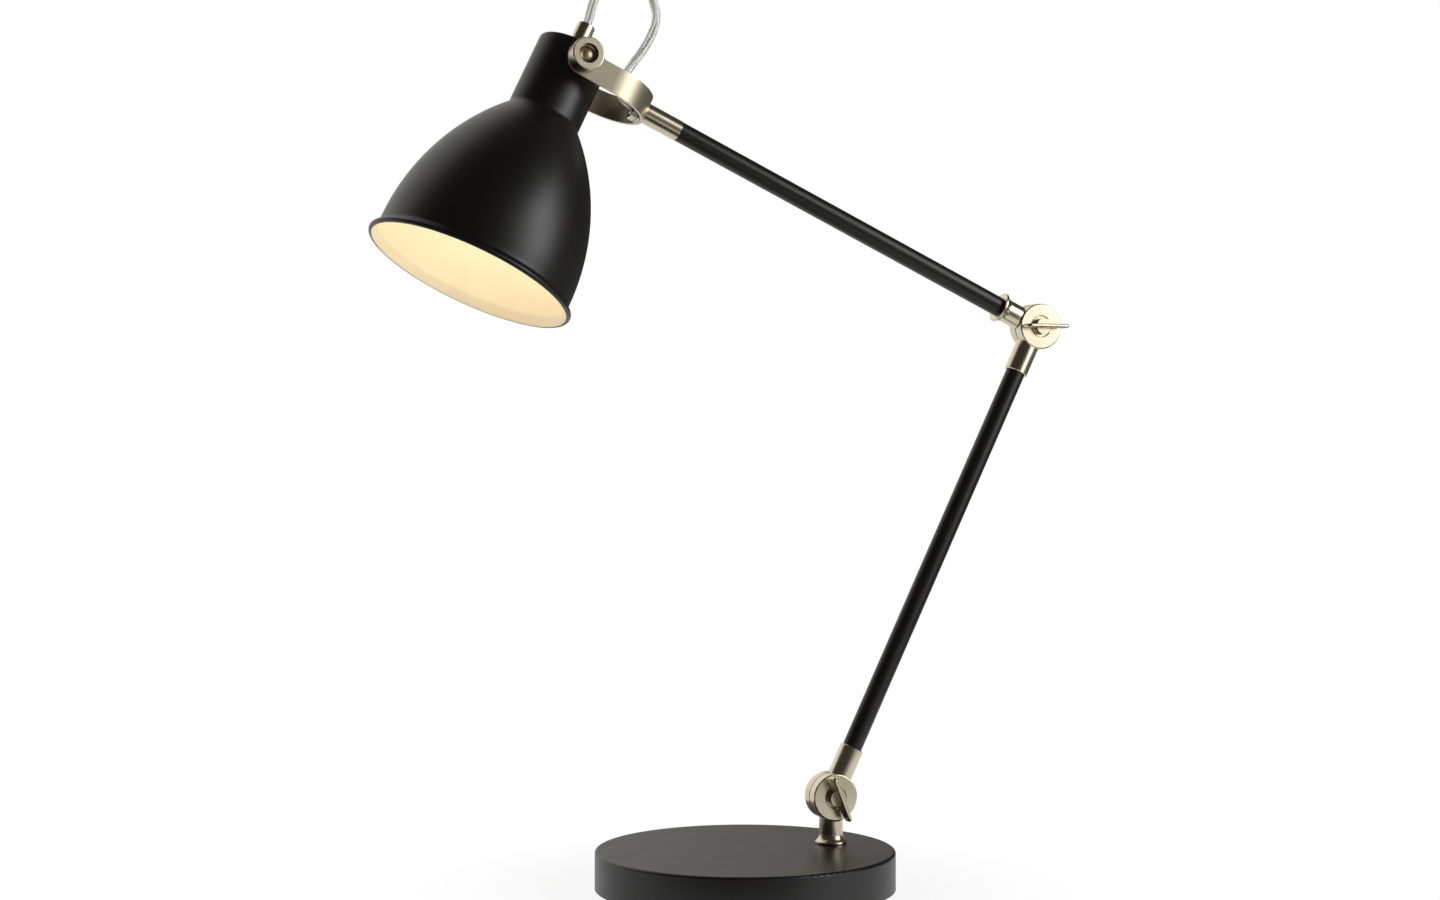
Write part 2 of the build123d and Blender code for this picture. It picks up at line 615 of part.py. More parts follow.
with BuildPart() as yoke:
    with BuildSketch(yoke_section):
        with BuildLine():
            Line((0, yoke_bend_outer), (yoke_bend_centre, yoke_bend_outer))
            CenterArc((yoke_bend_centre, 0), yoke_bend_outer, 90, -180)
            Line((yoke_bend_centre, -yoke_bend_outer), (0, -yoke_bend_outer))
            Line((0, -yoke_bend_outer), (0, -yoke_bend_inner))
            Line((0, -yoke_bend_inner), (yoke_bend_centre, -yoke_bend_inner))
            CenterArc((yoke_bend_centre, 0), yoke_bend_inner, -90, 180)
            Line((yoke_bend_centre, yoke_bend_inner), (0, yoke_bend_inner))
            Line((0, yoke_bend_inner), (0, yoke_bend_outer))
        make_face()
    extrude(amount=STRAP_WIDTH / 2, both=True)
    for end_frame in (strap_frame, yoke_frame):
        for strap_end in (yoke_bend_inner, -yoke_bend_outer):
            with BuildSketch(end_frame.offset(strap_end)):
                Circle(STRAP_WIDTH / 2)
            extrude(amount=STRAP_THICKNESS)
    for side in pivot_sides:
        with BuildSketch(side.offset(yoke_bend_outer)):
            Circle(cup_radius + EYE_GAP)
        extrude(amount=STRAP_THICKNESS, mode=Mode.SUBTRACT)
        with BuildSketch(side.offset(yoke_bend_inner)):
            Circle(spacer_radius + EYE_GAP)
        extrude(amount=-STRAP_THICKNESS, mode=Mode.SUBTRACT)
    with BuildSketch(yoke_arm.offset(yoke_seat)):
        Circle(bolt_hole + SEAT_WALL)
    extrude(amount=YOKE_REACH - STRAP_THICKNESS / 2 - yoke_seat)
    with BuildSketch(yoke_arm.offset(YOKE_REACH)):
        Circle(bush_radius)
    extrude(amount=-STRAP_THICKNESS / 2)
    with BuildSketch(yoke_arm.offset(yoke_bolt_end)):
        Circle(bolt_hole)
    extrude(amount=bush_end - yoke_bolt_end, mode=Mode.SUBTRACT)
    with BuildSketch(yoke_frame):
        Circle(pivot_hole)
    extrude(amount=yoke_bend_outer, both=True, mode=Mode.SUBTRACT)
save("yoke", yoke.part)

# Shade: the whole shell, then its neck and its bell, which meet just above the crease
with BuildPart() as shade_shell:
    with BuildSketch(shade_frame) as shade_section:
        with BuildLine():
            Polyline((bolt_hole, NECK_TOP), (neck_radius, NECK_TOP), (neck_radius, -NECK_BOTTOM))
            CenterArc(bell_centre, BELL_RADIUS, BELL_ANGLE, -BELL_ANGLE)
            Line((bell_outer, bell_centre[1]), (bell_outer, flare_top))
            TangentArc((bell_outer, flare_top), (bead_centre[0], bead_centre[1] + bead_radius), tangent=(0, -1))
            Line((bead_centre[0], bead_centre[1] + bead_radius), bead_centre)
            TangentArc((bell_inner, flare_top), bead_centre, tangent=(0, -1))
            Line((bell_inner, flare_top), (bell_inner, bell_centre[1]))
            CenterArc(bell_centre, bell_inner_radius, 0, bell_inner_angle)
            Polyline(
                (neck_inner, bell_centre[1] + bell_inner_radius * sin(radians(bell_inner_angle))),
                (neck_inner, neck_ceiling),
                (bolt_hole, neck_ceiling),
                (bolt_hole, NECK_TOP),
            )
        make_face()
        neck_corner = shade_section.vertices().sort_by_distance((neck_radius, NECK_TOP))[0]
        fillet(neck_corner, NECK_EDGE_RADIUS)
        outer_crease = shade_section.vertices().sort_by_distance((neck_radius, -NECK_BOTTOM))[0]
        fillet(outer_crease, CREASE_RADIUS)
        with Locations(bead_centre):
            Circle(bead_radius)
    revolve(axis=shade_axis)
    with BuildSketch(shade_frame):
        Circle(pivot_hole)
    extrude(amount=neck_radius, both=True, mode=Mode.SUBTRACT)

with BuildPart() as shade_neck:
    add(shade_shell.part)
    split(bisect_by=shade_stack.offset(-neck_seam), keep=Keep.TOP)
save("shade_neck", shade_neck.part)

with BuildPart() as shade_bell:
    add(shade_shell.part)
    split(bisect_by=shade_stack.offset(-neck_seam), keep=Keep.BOTTOM)
save("shade_bell", shade_bell.part)

# Tilt pivots
with BuildPart() as pivot_cups:
    for side in pivot_sides:
        with BuildSketch(side.offset(yoke_bend_outer)):
            Circle(cup_radius)
        extrude(amount=CUP_FLOOR + CUP_RECESS_DEPTH)
        cup_rims = pivot_cups.edges(Select.LAST).filter_by(GeomType.CIRCLE)
        fillet(cup_rims, CUP_EDGE_RADIUS)
        with BuildSketch(side.offset(cup_floor)):
            Circle(cup_recess_radius)
        extrude(amount=CUP_RECESS_DEPTH, mode=Mode.SUBTRACT)
        with BuildSketch(side.offset(yoke_bend_outer)):
            Circle(pivot_hole)
        extrude(amount=CUP_FLOOR, mode=Mode.SUBTRACT)
save("pivot_cups", pivot_cups.part)

with BuildPart() as pivot_screws:
    dome_radius = (pivot_head_radius**2 + PIVOT_HEAD_HEIGHT**2) / (2 * PIVOT_HEAD_HEIGHT)
    for side in pivot_sides:
        with BuildSketch(side.offset(pivot_nut_inner - PIVOT_END)):
            Circle(pivot_radius)
        extrude(amount=cup_floor - pivot_nut_inner + PIVOT_END)
        dome_plane = Plane(origin=head_pivot, x_dir=side.x_dir, z_dir=side.x_dir.cross(side.z_dir))
        with BuildSketch(dome_plane):
            with BuildLine():
                Line((0, cup_floor), (pivot_head_radius, cup_floor))
                RadiusArc((pivot_head_radius, cup_floor), (0, cup_floor + PIVOT_HEAD_HEIGHT), -dome_radius)
                Line((0, cup_floor + PIVOT_HEAD_HEIGHT), (0, cup_floor))
            make_face()
        revolve(axis=Axis(head_pivot, side.z_dir))
save("pivot_screws", pivot_screws.part)

with BuildPart() as pivot_spacers:
    for side in pivot_sides:
        with BuildSketch(side.offset(neck_inner)):
            Circle(spacer_radius)
            Circle(pivot_hole, mode=Mode.SUBTRACT)
        extrude(amount=yoke_bend_inner - neck_inner)
    with BuildSketch(shade_stack):
        Circle(neck_radius)
    extrude(amount=2 * spacer_radius, both=True, mode=Mode.SUBTRACT)
save("pivot_spacers", pivot_spacers.part)

with BuildPart() as pivot_nuts:
    for side in pivot_sides:
        with BuildSketch(side.offset(pivot_nut_inner)):
            RegularPolygon(pivot_nut_inradius, NUT_SIDES, major_radius=False)
            Circle(pivot_hole, mode=Mode.SUBTRACT)
        extrude(amount=PIVOT_NUT_HEIGHT)
save("pivot_nuts", pivot_nuts.part)

# Cord grip on the neck
with BuildPart() as cord_grip:
    with BuildSketch(shade_stack.offset(NECK_TOP + GRIP_NUT_HEIGHT)):
        Circle(grip_radius)
    extrude(amount=GRIP_HEIGHT - GRIP_NUT_HEIGHT)
    fillet(cord_grip.edges().sort_by(shade_axis)[-1], GRIP_EDGE_RADIUS)
    with BuildSketch(shade_stack.offset(grip_thread_end)):
        Circle(bolt_radius)
    extrude(amount=NECK_TOP + GRIP_NUT_HEIGHT - grip_thread_end)
    with BuildSketch(shade_stack.offset(grip_thread_end)):
        Circle(cord_bore)
    extrude(amount=grip_top - grip_thread_end, mode=Mode.SUBTRACT)
save("cord_grip", cord_grip.part)
save("grip_nut", bolt_nut(shade_stack.offset(NECK_TOP), GRIP_NUT_HEIGHT))

# Lampholder and bulb
with BuildPart() as lampholder_cap:
    with BuildSketch(shade_stack.offset(holder_floor)):
        Circle(HOLDER_CAP_DIAMETER / 2)
    extrude(amount=HOLDER_CAP_LENGTH)
    with BuildSketch(shade_stack.offset(holder_floor)):
        Circle(HOLDER_CAP_DIAMETER / 2 - HOLDER_WALL)
    extrude(amount=HOLDER_CAP_LENGTH - HOLDER_CAP_ROOF, mode=Mode.SUBTRACT)
    with BuildSketch(shade_stack.offset(holder_floor)):
        Circle(bolt_hole)
    extrude(amount=HOLDER_CAP_LENGTH, mode=Mode.SUBTRACT)
save("lampholder_cap", lampholder_cap.part)

with BuildPart() as lampholder_body:
    with BuildSketch(shade_stack.offset(holder_end)):
        Circle(HOLDER_DIAMETER / 2)
    extrude(amount=holder_floor - holder_end)
    with BuildSketch(shade_stack.offset(holder_end)):
        Circle(holder_bore)
    extrude(amount=contact_seat - holder_end, mode=Mode.SUBTRACT)
    with BuildSketch(shade_stack.offset(contact_seat)):
        with GridLocations(WIRE_HOLE_SPACING, 0, WIRE_HOLE_COUNT, 1):
            Circle(WIRE_HOLE_DIAMETER / 2)
    extrude(amount=HOLDER_FLOOR, mode=Mode.SUBTRACT)
save("lampholder_body", lampholder_body.part)

sleeve_start = shade_stack.offset(holder_end + SLEEVE_SETBACK)
save("lampholder_sleeve", round_bar(sleeve_start, sleeve_length, sleeve_inner + SLEEVE_WALL, sleeve_inner))
save("lampholder_contact", round_bar(shade_stack.offset(bulb_tip), CONTACT_HEIGHT, CONTACT_DIAMETER / 2))

with BuildPart() as bulb_cap:
    with BuildSketch(shade_stack.offset(bulb_cap_end)):
        Circle(BULB_CAP_DIAMETER / 2)
    extrude(amount=BULB_CAP_LENGTH)
    with BuildSketch(shade_stack.offset(bulb_cap_end)):
        Circle(BULB_CAP_DIAMETER / 2 - BULB_CAP_WALL)
    extrude(amount=BULB_CAP_LENGTH - BULB_CAP_ROOF, mode=Mode.SUBTRACT)
    with BuildSketch(shade_stack.offset(bulb_cap_top)):
        Circle(BULB_TIP_DIAMETER / 2)
    extrude(amount=BULB_TIP_HEIGHT)
save("bulb_cap", bulb_cap.part)

with BuildPart() as bulb_glass:
    glass_neck = BULB_CAP_DIAMETER / 2 - BULB_CAP_WALL - BULB_NECK_CLEARANCE
    globe_radius = BULB_DIAMETER / 2
    globe_centre = bulb_cap_end - BULB_LENGTH + globe_radius
    shoulder = (
        globe_radius * sin(radians(BULB_SHOULDER_ANGLE)),
        globe_centre + globe_radius * cos(radians(BULB_SHOULDER_ANGLE)),
    )
    with BuildSketch(shade_frame):
        with BuildLine():
            Polyline((0, bulb_cap_end + BULB_NECK_OVERLAP), (glass_neck, bulb_cap_end + BULB_NECK_OVERLAP))
            Line((glass_neck, bulb_cap_end + BULB_NECK_OVERLAP), (glass_neck, bulb_cap_end))
            TangentArc((glass_neck, bulb_cap_end), shoulder, tangent=(0, -1))
            CenterArc((0, globe_centre), globe_radius, 90 - BULB_SHOULDER_ANGLE, BULB_SHOULDER_ANGLE - 180)
            Line((0, globe_centre - globe_radius), (0, bulb_cap_end + BULB_NECK_OVERLAP))
        make_face()
    revolve(axis=shade_axis)
    offset(amount=-BULB_GLASS_WALL, openings=bulb_glass.faces().sort_by(shade_axis)[-1])
save("bulb_glass", bulb_glass.part)

# Head cord: from the grip's bore, over in a loop, into the yoke's hollow bolt
grip_line = shade_frame.y_dir
cord_points = [
    tuple(yoke_frame.to_local_coords(head_pivot + grip_line * reach))[:2]
    for reach in (grip_top - CORD_ENTRY, grip_top + CORD_LEAD)
]
cord_points += CORD_ROUTE + [(cord_end, 0.0)]
cord_runs = [Vector(*end) - Vector(*start) for start, end in zip(cord_points, cord_points[1:])]
cord_radii = []
for run, following in zip(cord_runs, cord_runs[1:]):
    half_turn = radians(run.get_angle(following)) / 2
    cord_radii.append(CORD_BEND_SHARE * min(run.length, following.length) / tan(half_turn))

with BuildPart() as head_cord:
    with BuildLine(yoke_frame):
        cord_path = FilletPolyline(*cord_points, radius=cord_radii)
    with BuildSketch(Plane(origin=cord_path @ 0, z_dir=cord_path % 0)):
        Circle(CORD_DIAMETER / 2)
    sweep()
save("head_cord", head_cord.part)

print("cord radii", [round(radius, 1) for radius in cord_radii])
cord_section = pi * CORD_DIAMETER**2 / 4
cord_length = head_cord.part.volume / cord_section
print("cord length", round(cord_path.length, 1), "volume over section", round(cord_length, 1))
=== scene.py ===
# %% [markdown]
# # A jointed desk lamp in satin black and antique brass
# The lamp stands on a weighted round base. Two black tubes are joined by brass knuckles with wing
# screws, and a brass yoke carries a bell-shaped shade. The solid pieces arrive as a finished frame,
# each at its real size and place in metres, so this lesson dresses them: it gives every piece its
# finish, spins a smooth shade of two colours, runs the clear flex over the head, and sets up a white
# studio.

# %% Load the frame
import json
import math

import bmesh
import bpy
from mathutils import Matrix, Vector


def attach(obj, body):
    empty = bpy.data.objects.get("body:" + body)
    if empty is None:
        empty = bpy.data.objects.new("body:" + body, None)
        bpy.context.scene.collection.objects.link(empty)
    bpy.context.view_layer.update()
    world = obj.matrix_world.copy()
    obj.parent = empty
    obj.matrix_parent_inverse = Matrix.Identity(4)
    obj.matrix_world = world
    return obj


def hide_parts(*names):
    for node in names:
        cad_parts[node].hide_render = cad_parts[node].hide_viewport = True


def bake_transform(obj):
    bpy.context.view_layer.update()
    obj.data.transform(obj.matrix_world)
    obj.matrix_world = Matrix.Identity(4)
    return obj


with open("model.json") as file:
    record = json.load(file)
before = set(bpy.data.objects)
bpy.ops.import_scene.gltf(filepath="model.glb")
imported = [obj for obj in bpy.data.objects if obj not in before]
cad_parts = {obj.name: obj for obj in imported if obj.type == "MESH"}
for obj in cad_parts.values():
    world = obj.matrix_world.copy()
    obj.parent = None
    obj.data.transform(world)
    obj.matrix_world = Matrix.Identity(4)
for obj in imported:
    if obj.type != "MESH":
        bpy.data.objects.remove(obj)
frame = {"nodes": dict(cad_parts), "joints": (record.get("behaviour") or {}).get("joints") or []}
nodes = frame["nodes"]
joints = {joint["name"]: joint for joint in frame["joints"]}
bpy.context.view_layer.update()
scene = bpy.context.scene
print("pieces in the frame:", len(nodes))

# %% [markdown]
# ## The camera
# A product picture like this is taken from a little more than a metre away with a short telephoto lens,
# level with the middle of the lamp, so that upright lines stay upright. The camera could look at a
# target through a constraint, but a fixed place and one turn about the vertical are easier to read and
# to repeat.

# %% Camera
CAMERA_PLACE = (-0.49409, -1.25702, 0.26315)
CAMERA_TURN = -20.82
camera_data = bpy.data.cameras.new("camera")
camera_data.sensor_width = 36.0
camera_data.lens = 56.38
camera = bpy.data.objects.new("camera", camera_data)
camera.location = CAMERA_PLACE
camera.rotation_euler = (math.radians(90), 0, math.radians(CAMERA_TURN))
scene.collection.objects.link(camera)
scene.camera = camera
print("camera at", [round(value, 3) for value in camera.location])

# %% [markdown]
# ## Small helpers
# Finishes are written as the hex codes that a paint chart gives. Those codes are sRGB, and shaders work
# in linear light, so one function turns one into the other. A second function adds a node to any tree,
# with its settings and its links, which keeps each material down to a few lines. The other three open
# an empty finish, turn the real size of a pattern into a texture scale, and put a finish on pieces of
# the frame.


# %% Helpers
def linear(code):
    """Linear RGBA of an sRGB hex code."""
    channels = [int(code[place : place + 2], 16) / 255 for place in (0, 2, 4)]
    return (*(c / 12.92 if c <= 0.04045 else ((c + 0.055) / 1.055) ** 2.4 for c in channels), 1.0)


def put(tree, kind, sockets=None, **settings):
    """Add a node. Each socket gets a value, or a link if it is given another node's output."""
    node = tree.nodes.new(kind)
    for name, value in settings.items():
        setattr(node, name, value)
    for socket, value in (sockets or {}).items():
        if isinstance(value, bpy.types.NodeSocket):
            tree.links.new(value, node.inputs[socket])
        else:
            node.inputs[socket].default_value = value
    return node


def new_finish(name, metallic=0.0):
    """An empty material with its output, its principled shader and the piece's own coordinates."""
    material = bpy.data.materials.new(name)
    material.use_nodes = True
    tree = material.node_tree
    tree.nodes.clear()
    shader = put(tree, "ShaderNodeBsdfPrincipled", {"Metallic": metallic})
    put(tree, "ShaderNodeOutputMaterial", {"Surface": shader.outputs["BSDF"]})
    place = put(tree, "ShaderNodeTexCoord").outputs["Object"]
    return material, tree, shader, place


def per_metre(millimetres):
    """Texture scale for a pattern whose features are this many millimetres wide."""
    return 1000 / millimetres


def dress(finish, *names):
    """Give CAD pieces one finish."""
    for name in names:
        nodes[name].data.materials.clear()
        nodes[name].data.materials.append(finish)
    print(finish.name, "on", ", ".join(names))


# %% [markdown]
# ## One pattern, several effects
# What mottles or wears a surface seldom changes one thing alone: a film of tarnish changes the tone of
# tin and its gloss together, and a casting's grain shows in its colour, in its gloss and to the
# fingertip. Each effect could have a texture of its own, but then they would not agree. So one function
# runs them from the same pattern.


# %% Graded finish
def grade(tree, shader, pattern, colours, gloss, tone=None, relief=None):
    """Run the colour between two hex codes, and the roughness between two values, by one pattern.

    The colour follows a tone of its own where one is given. Relief is a pattern of heights, its strength and
    its depth in metres.
    """
    first, last = (linear(code) for code in colours)
    span = {0: pattern if tone is None else tone, 6: first, 7: last}
    colour = put(tree, "ShaderNodeMix", span, data_type="RGBA")
    tree.links.new(colour.outputs[2], shader.inputs["Base Color"])
    low, high = gloss
    roughness = put(tree, "ShaderNodeMapRange", {"Value": pattern, "To Min": low, "To Max": high})
    tree.links.new(roughness.outputs["Result"], shader.inputs["Roughness"])
    if relief:
        heights, strength, depth = relief
        bump = put(tree, "ShaderNodeBump", {"Height": heights, "Strength": strength, "Distance": depth})
        tree.links.new(bump.outputs["Normal"], shader.inputs["Normal"])


# %% [markdown]
# ## The axes of the lamp
# The joints of the frame already hold the places and directions that the looks need: where the head
# tilts, which way the upper arm runs, and where each knuckle turns. They could be typed in again, but
# reading them keeps the looks tied to the solids. Only the shade's small lean, off square to the arm,
# is in no joint.

# %% Axes
SHADE_LEAN = math.radians(1.5)
UPRIGHT = Vector((0, 0, 1))
lower_pivot = Vector(joints["lower_arm_hinge"]["pos_m"])
elbow = Vector(joints["elbow_hinge"]["pos_m"])
knuckle_axis = Vector(joints["elbow_hinge"]["axis"]).normalized()
head = Vector(joints["shade_tilt"]["pos_m"])
tilt_axis = Vector(joints["shade_tilt"]["axis"]).normalized()
towards_elbow = -Vector(joints["yoke_swivel"]["axis"]).normalized()
across = tilt_axis.cross(towards_elbow).normalized()
shade_up = (across * math.cos(SHADE_LEAN) + towards_elbow * math.sin(SHADE_LEAN)).normalized()
shade_side = shade_up.cross(tilt_axis).normalized()
lower_line = (elbow - lower_pivot).normalized()
upper_line = (head - elbow).normalized()
print("shade points down along", [round(-value, 3) for value in shade_up])

# %% [markdown]
# ## The flex over the head
# A clear PVC flex leaves the grip on the neck, loops up over the yoke and drops into the hollow bolt.
# Bezier handles could shape it, but it is one smooth curve, and a NURBS spline needs only control
# points. They are given in millimetres in the plane of the yoke: how far towards the elbow, and how far
# up across the arm. Blender then gives the points of the curve itself.

# %% Route of the flex
FLEX_DIAMETER = 0.0053
FLEX_ROUTE = [
    (0.6, 22.0),
    (0.9, 33.0),
    (-1.3, 43.0),
    (-1.5, 59.1),
    (5.2, 68.6),
    (16.3, 72.5),
    (27.5, 69.3),
    (37.3, 57.3),
    (39.0, 46.2),
    (37.3, 31.3),
    (33.9, 19.4),
    (32.4, 7.4),
    (37.6, 0.0),
    (46.1, 0.0),
]


def beside_head(along, up):
    """A place in the plane of the yoke: millimetres towards the elbow, and up across the arm."""
    return head + (towards_elbow * along + across * up) / 1000


flex_curve = bpy.data.curves.new("flex_route", "CURVE")
flex_curve.dimensions = "3D"
flex_curve.resolution_u = 24
flex_spline = flex_curve.splines.new("NURBS")
flex_spline.points.add(len(FLEX_ROUTE) - 1)
for point, (along, up) in zip(flex_spline.points, FLEX_ROUTE):
    point.co = (*beside_head(along, up), 1.0)
flex_spline.order_u = 3
flex_spline.use_endpoint_u = True
flex_object = bpy.data.objects.new("flex_route", flex_curve)
scene.collection.objects.link(flex_object)
depsgraph = bpy.context.evaluated_depsgraph_get()
flex_line = bpy.data.meshes.new_from_object(flex_object.evaluated_get(depsgraph))
bpy.data.objects.remove(flex_object)

# %% [markdown]
# ## What the flex is made of
# The jacket is soft PVC, clear with a faint milkiness, and its gloss is even. Inside lie two cores of
# tinned copper, laid slowly round each other. Their strands are finer than a tenth of a millimetre, so
# each core shows as one silver-grey rod, a little duller where the tin has tarnished.

# %% Clear PVC and tinned copper
clear_pvc, tree, shader, place = new_finish("clear_soft_pvc")
shader.inputs["Base Color"].default_value = linear("F1F1EE")
shader.inputs["Transmission Weight"].default_value = 0.85
shader.inputs["IOR"].default_value = 1.5
ripple = put(tree, "ShaderNodeTexNoise", {"Vector": place, "Scale": per_metre(4.0), "Detail": 2.0})
soft = put(tree, "ShaderNodeMapRange", {"Value": ripple.outputs["Fac"], "To Min": 0.0, "To Max": 0.03})
tree.links.new(soft.outputs["Result"], shader.inputs["Roughness"])

tinned_copper, tree, shader, place = new_finish("tinned_copper_strand", metallic=1.0)
tarnish = put(tree, "ShaderNodeTexNoise", {"Vector": place, "Scale": per_metre(2.5), "Detail": 3.0})
grade(tree, shader, tarnish.outputs["Fac"], ("C6C5C1", "DAD9D6"), (0.38, 0.5))
print("flex finishes:", clear_pvc.name, "and", tinned_copper.name)

# %% [markdown]
# ## Growing a piece from a rule
# Geometry Nodes suit what follows a path or repeats. The first helper below opens an empty tree with
# named inputs, and the second is how each tree here ends. The third runs a tree on a starting mesh. The
# result is kept as a plain mesh and the modifier is taken off again, so that what is left is an
# ordinary piece at the origin.


# %% Geometry Nodes helpers
def new_tree(name, inputs):
    """A geometry tree with these named inputs, and the sockets that bring them in."""
    tree = bpy.data.node_groups.new(name, "GeometryNodeTree")
    tree.interface.new_socket("Geometry", in_out="INPUT", socket_type="NodeSocketGeometry")
    for label, kind in inputs.items():
        tree.interface.new_socket(label, in_out="INPUT", socket_type=kind)
    tree.interface.new_socket("Geometry", in_out="OUTPUT", socket_type="NodeSocketGeometry")
    return tree, put(tree, "NodeGroupInput").outputs


def made_real(tree, mesh, finish):
    """Shade a tree's mesh smooth, make its instances real and give all of it one finish."""
    smooth = put(tree, "GeometryNodeSetShadeSmooth", {"Geometry": mesh})
    real = put(tree, "GeometryNodeRealizeInstances", {"Geometry": smooth.outputs["Geometry"]})
    worn = {"Geometry": real.outputs["Geometry"], "Material": finish}
    return put(tree, "GeometryNodeSetMaterial", worn).outputs["Geometry"]


def grow(name, start, tree, values):
    """A new object whose mesh is what the tree makes of the starting mesh."""
    piece = bpy.data.objects.new(name, start)
    scene.collection.objects.link(piece)
    modifier = piece.modifiers.new(tree.name, "NODES")
    modifier.node_group = tree
    for item in tree.interface.items_tree:
        if item.in_out == "INPUT" and item.name in values:
            modifier[item.identifier] = values[item.name]
    evaluated = piece.evaluated_get(bpy.context.evaluated_depsgraph_get())
    mesh = bpy.data.meshes.new_from_object(evaluated)
    piece.modifiers.clear()
    piece.data = mesh
    mesh.name = name
    for slot in reversed(range(len(mesh.materials))):
        if mesh.materials[slot] is None:
            mesh.materials.pop(index=slot)
    print(name, "has", len(mesh.polygons), "faces")
    return piece


# %% [markdown]
# ## Jacket of the flex
# The jacket is a plain round tube. The curve's own bevel could draw it, but the cores need the same
# line in a tree, so both start alike: turn the line into a curve and space its points evenly. The
# jacket's tree then sweeps a circle along it.


# %% Flex jacket
def even_line(tree, given):
    """The starting line as a curve with a point at every step."""
    line = put(tree, "GeometryNodeMeshToCurve", {"Mesh": given["Geometry"]})
    spacing = {"Curve": line.outputs["Curve"], "Length": given["Step"]}
    return put(tree, "GeometryNodeResampleCurve", spacing, mode="LENGTH").outputs["Curve"]


FLEX_STEP = 0.0012
JACKET_SIDES = 24
jacket_tree, given = new_tree(
    "flex_jacket",
    {"Diameter": "NodeSocketFloat", "Step": "NodeSocketFloat", "Finish": "NodeSocketMaterial"},
)
line = even_line(jacket_tree, given)
radius = put(jacket_tree, "ShaderNodeMath", {0: given["Diameter"], 1: 0.5}, operation="MULTIPLY").outputs[0]
ring = put(jacket_tree, "GeometryNodeCurvePrimitiveCircle", {"Resolution": JACKET_SIDES, "Radius": radius})
tube = put(
    jacket_tree,
    "GeometryNodeCurveToMesh",
    {"Curve": line, "Profile Curve": ring.outputs["Curve"], "Fill Caps": True},
)
jacket = made_real(jacket_tree, tube.outputs["Mesh"], given["Finish"])
put(jacket_tree, "NodeGroupOutput", {"Geometry": jacket})
flex_jacket = grow(
    "flex_jacket",
    flex_line.copy(),
    jacket_tree,
    {"Diameter": FLEX_DIAMETER, "Step": FLEX_STEP, "Finish": clear_pvc},
)

# %% [markdown]
# ## Cores inside the flex
# The two cores lie side by side and turn once in 80 mm. Each could be swept along a helix of its own,
# but their cut ends make one outline: the tree draws a circle on each of two points, a little over a
# core apart, and sweeps that pair along the same line. Tilting the curve by its own length is what lays
# the twist.

# %% Flex cores
CORE_DIAMETER = 0.0019
CORE_LAY = 0.08
CORE_SIDES = 16
CORE_SPACING = 1.02  # in core diameters
core_tree, given = new_tree(
    "flex_cores",
    {
        "Core": "NodeSocketFloat",
        "Lay": "NodeSocketFloat",
        "Step": "NodeSocketFloat",
        "Finish": "NodeSocketMaterial",
    },
)
line = even_line(core_tree, given)
travelled = put(core_tree, "GeometryNodeSplineParameter").outputs["Length"]
turns = put(core_tree, "ShaderNodeMath", {0: travelled, 1: given["Lay"]}, operation="DIVIDE").outputs[0]
twist = put(core_tree, "ShaderNodeMath", {0: turns, 1: math.tau}, operation="MULTIPLY").outputs[0]
laid = put(core_tree, "GeometryNodeSetCurveTilt", {"Curve": line, "Tilt": twist})
radius = put(core_tree, "ShaderNodeMath", {0: given["Core"], 1: 0.5}, operation="MULTIPLY").outputs[0]
core = put(core_tree, "GeometryNodeCurvePrimitiveCircle", {"Resolution": CORE_SIDES, "Radius": radius})
back = put(core_tree, "ShaderNodeMath", {0: given["Core"], 1: -CORE_SPACING / 2}, operation="MULTIPLY")
apart = put(core_tree, "ShaderNodeMath", {0: given["Core"], 1: CORE_SPACING}, operation="MULTIPLY")
first = put(core_tree, "ShaderNodeCombineXYZ", {"X": back.outputs[0]})
step = put(core_tree, "ShaderNodeCombineXYZ", {"X": apart.outputs[0]})
pair = put(
    core_tree,
    "GeometryNodeMeshLine",
    {"Count": 2, "Start Location": first.outputs[0], "Offset": step.outputs[0]},
    mode="OFFSET",
)
cores = put(
    core_tree,
    "GeometryNodeInstanceOnPoints",
    {"Points": pair.outputs["Mesh"], "Instance": core.outputs["Curve"]},
)
end_view = put(core_tree, "GeometryNodeRealizeInstances", {"Geometry": cores.outputs["Instances"]})
swept = put(
    core_tree,
    "GeometryNodeCurveToMesh",
    {"Curve": laid.outputs["Curve"], "Profile Curve": end_view.outputs["Geometry"], "Fill Caps": True},
)
twisted = made_real(core_tree, swept.outputs["Mesh"], given["Finish"])
put(core_tree, "NodeGroupOutput", {"Geometry": twisted})
flex_cores = grow(
    "flex_cores",
    flex_line.copy(),
    core_tree,
    {"Core": CORE_DIAMETER, "Lay": CORE_LAY, "Step": FLEX_STEP, "Finish": tinned_copper},
)

# %% [markdown]
# ## Where the flex would bend
# Its lower end rides on the shade and its upper end on the yoke. Two places on a slant across the loop,
# where a bend between those bodies would begin and end, are worked out and printed. Both pieces keep
# their place in the world as plain meshes, and the frame's own cord is hidden.

# %% Flex between shade and yoke
bend_start = beside_head(along=-4, up=20)
bend_end = beside_head(along=30, up=-10)
for piece, finish_slot in ((flex_jacket, "clear_cord"), (flex_cores, "zinc")):
    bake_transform(piece)
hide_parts("head_cord")
for label, bend in (("from", bend_start), ("to", bend_end)):
    print("flex bends", label, [round(value, 3) for value in bend])

# %% [markdown]
# ## Paint and enamel
# The black parts are steel with a satin powder coat. Baked powder flows into a very slight orange peel,
# about a millimetre across, and its gloss is even but not mirror-like. The inside of the shade is a
# warm white stove enamel, thinner and a little glossier. The peel is too shallow to model, so a bump
# draws it.

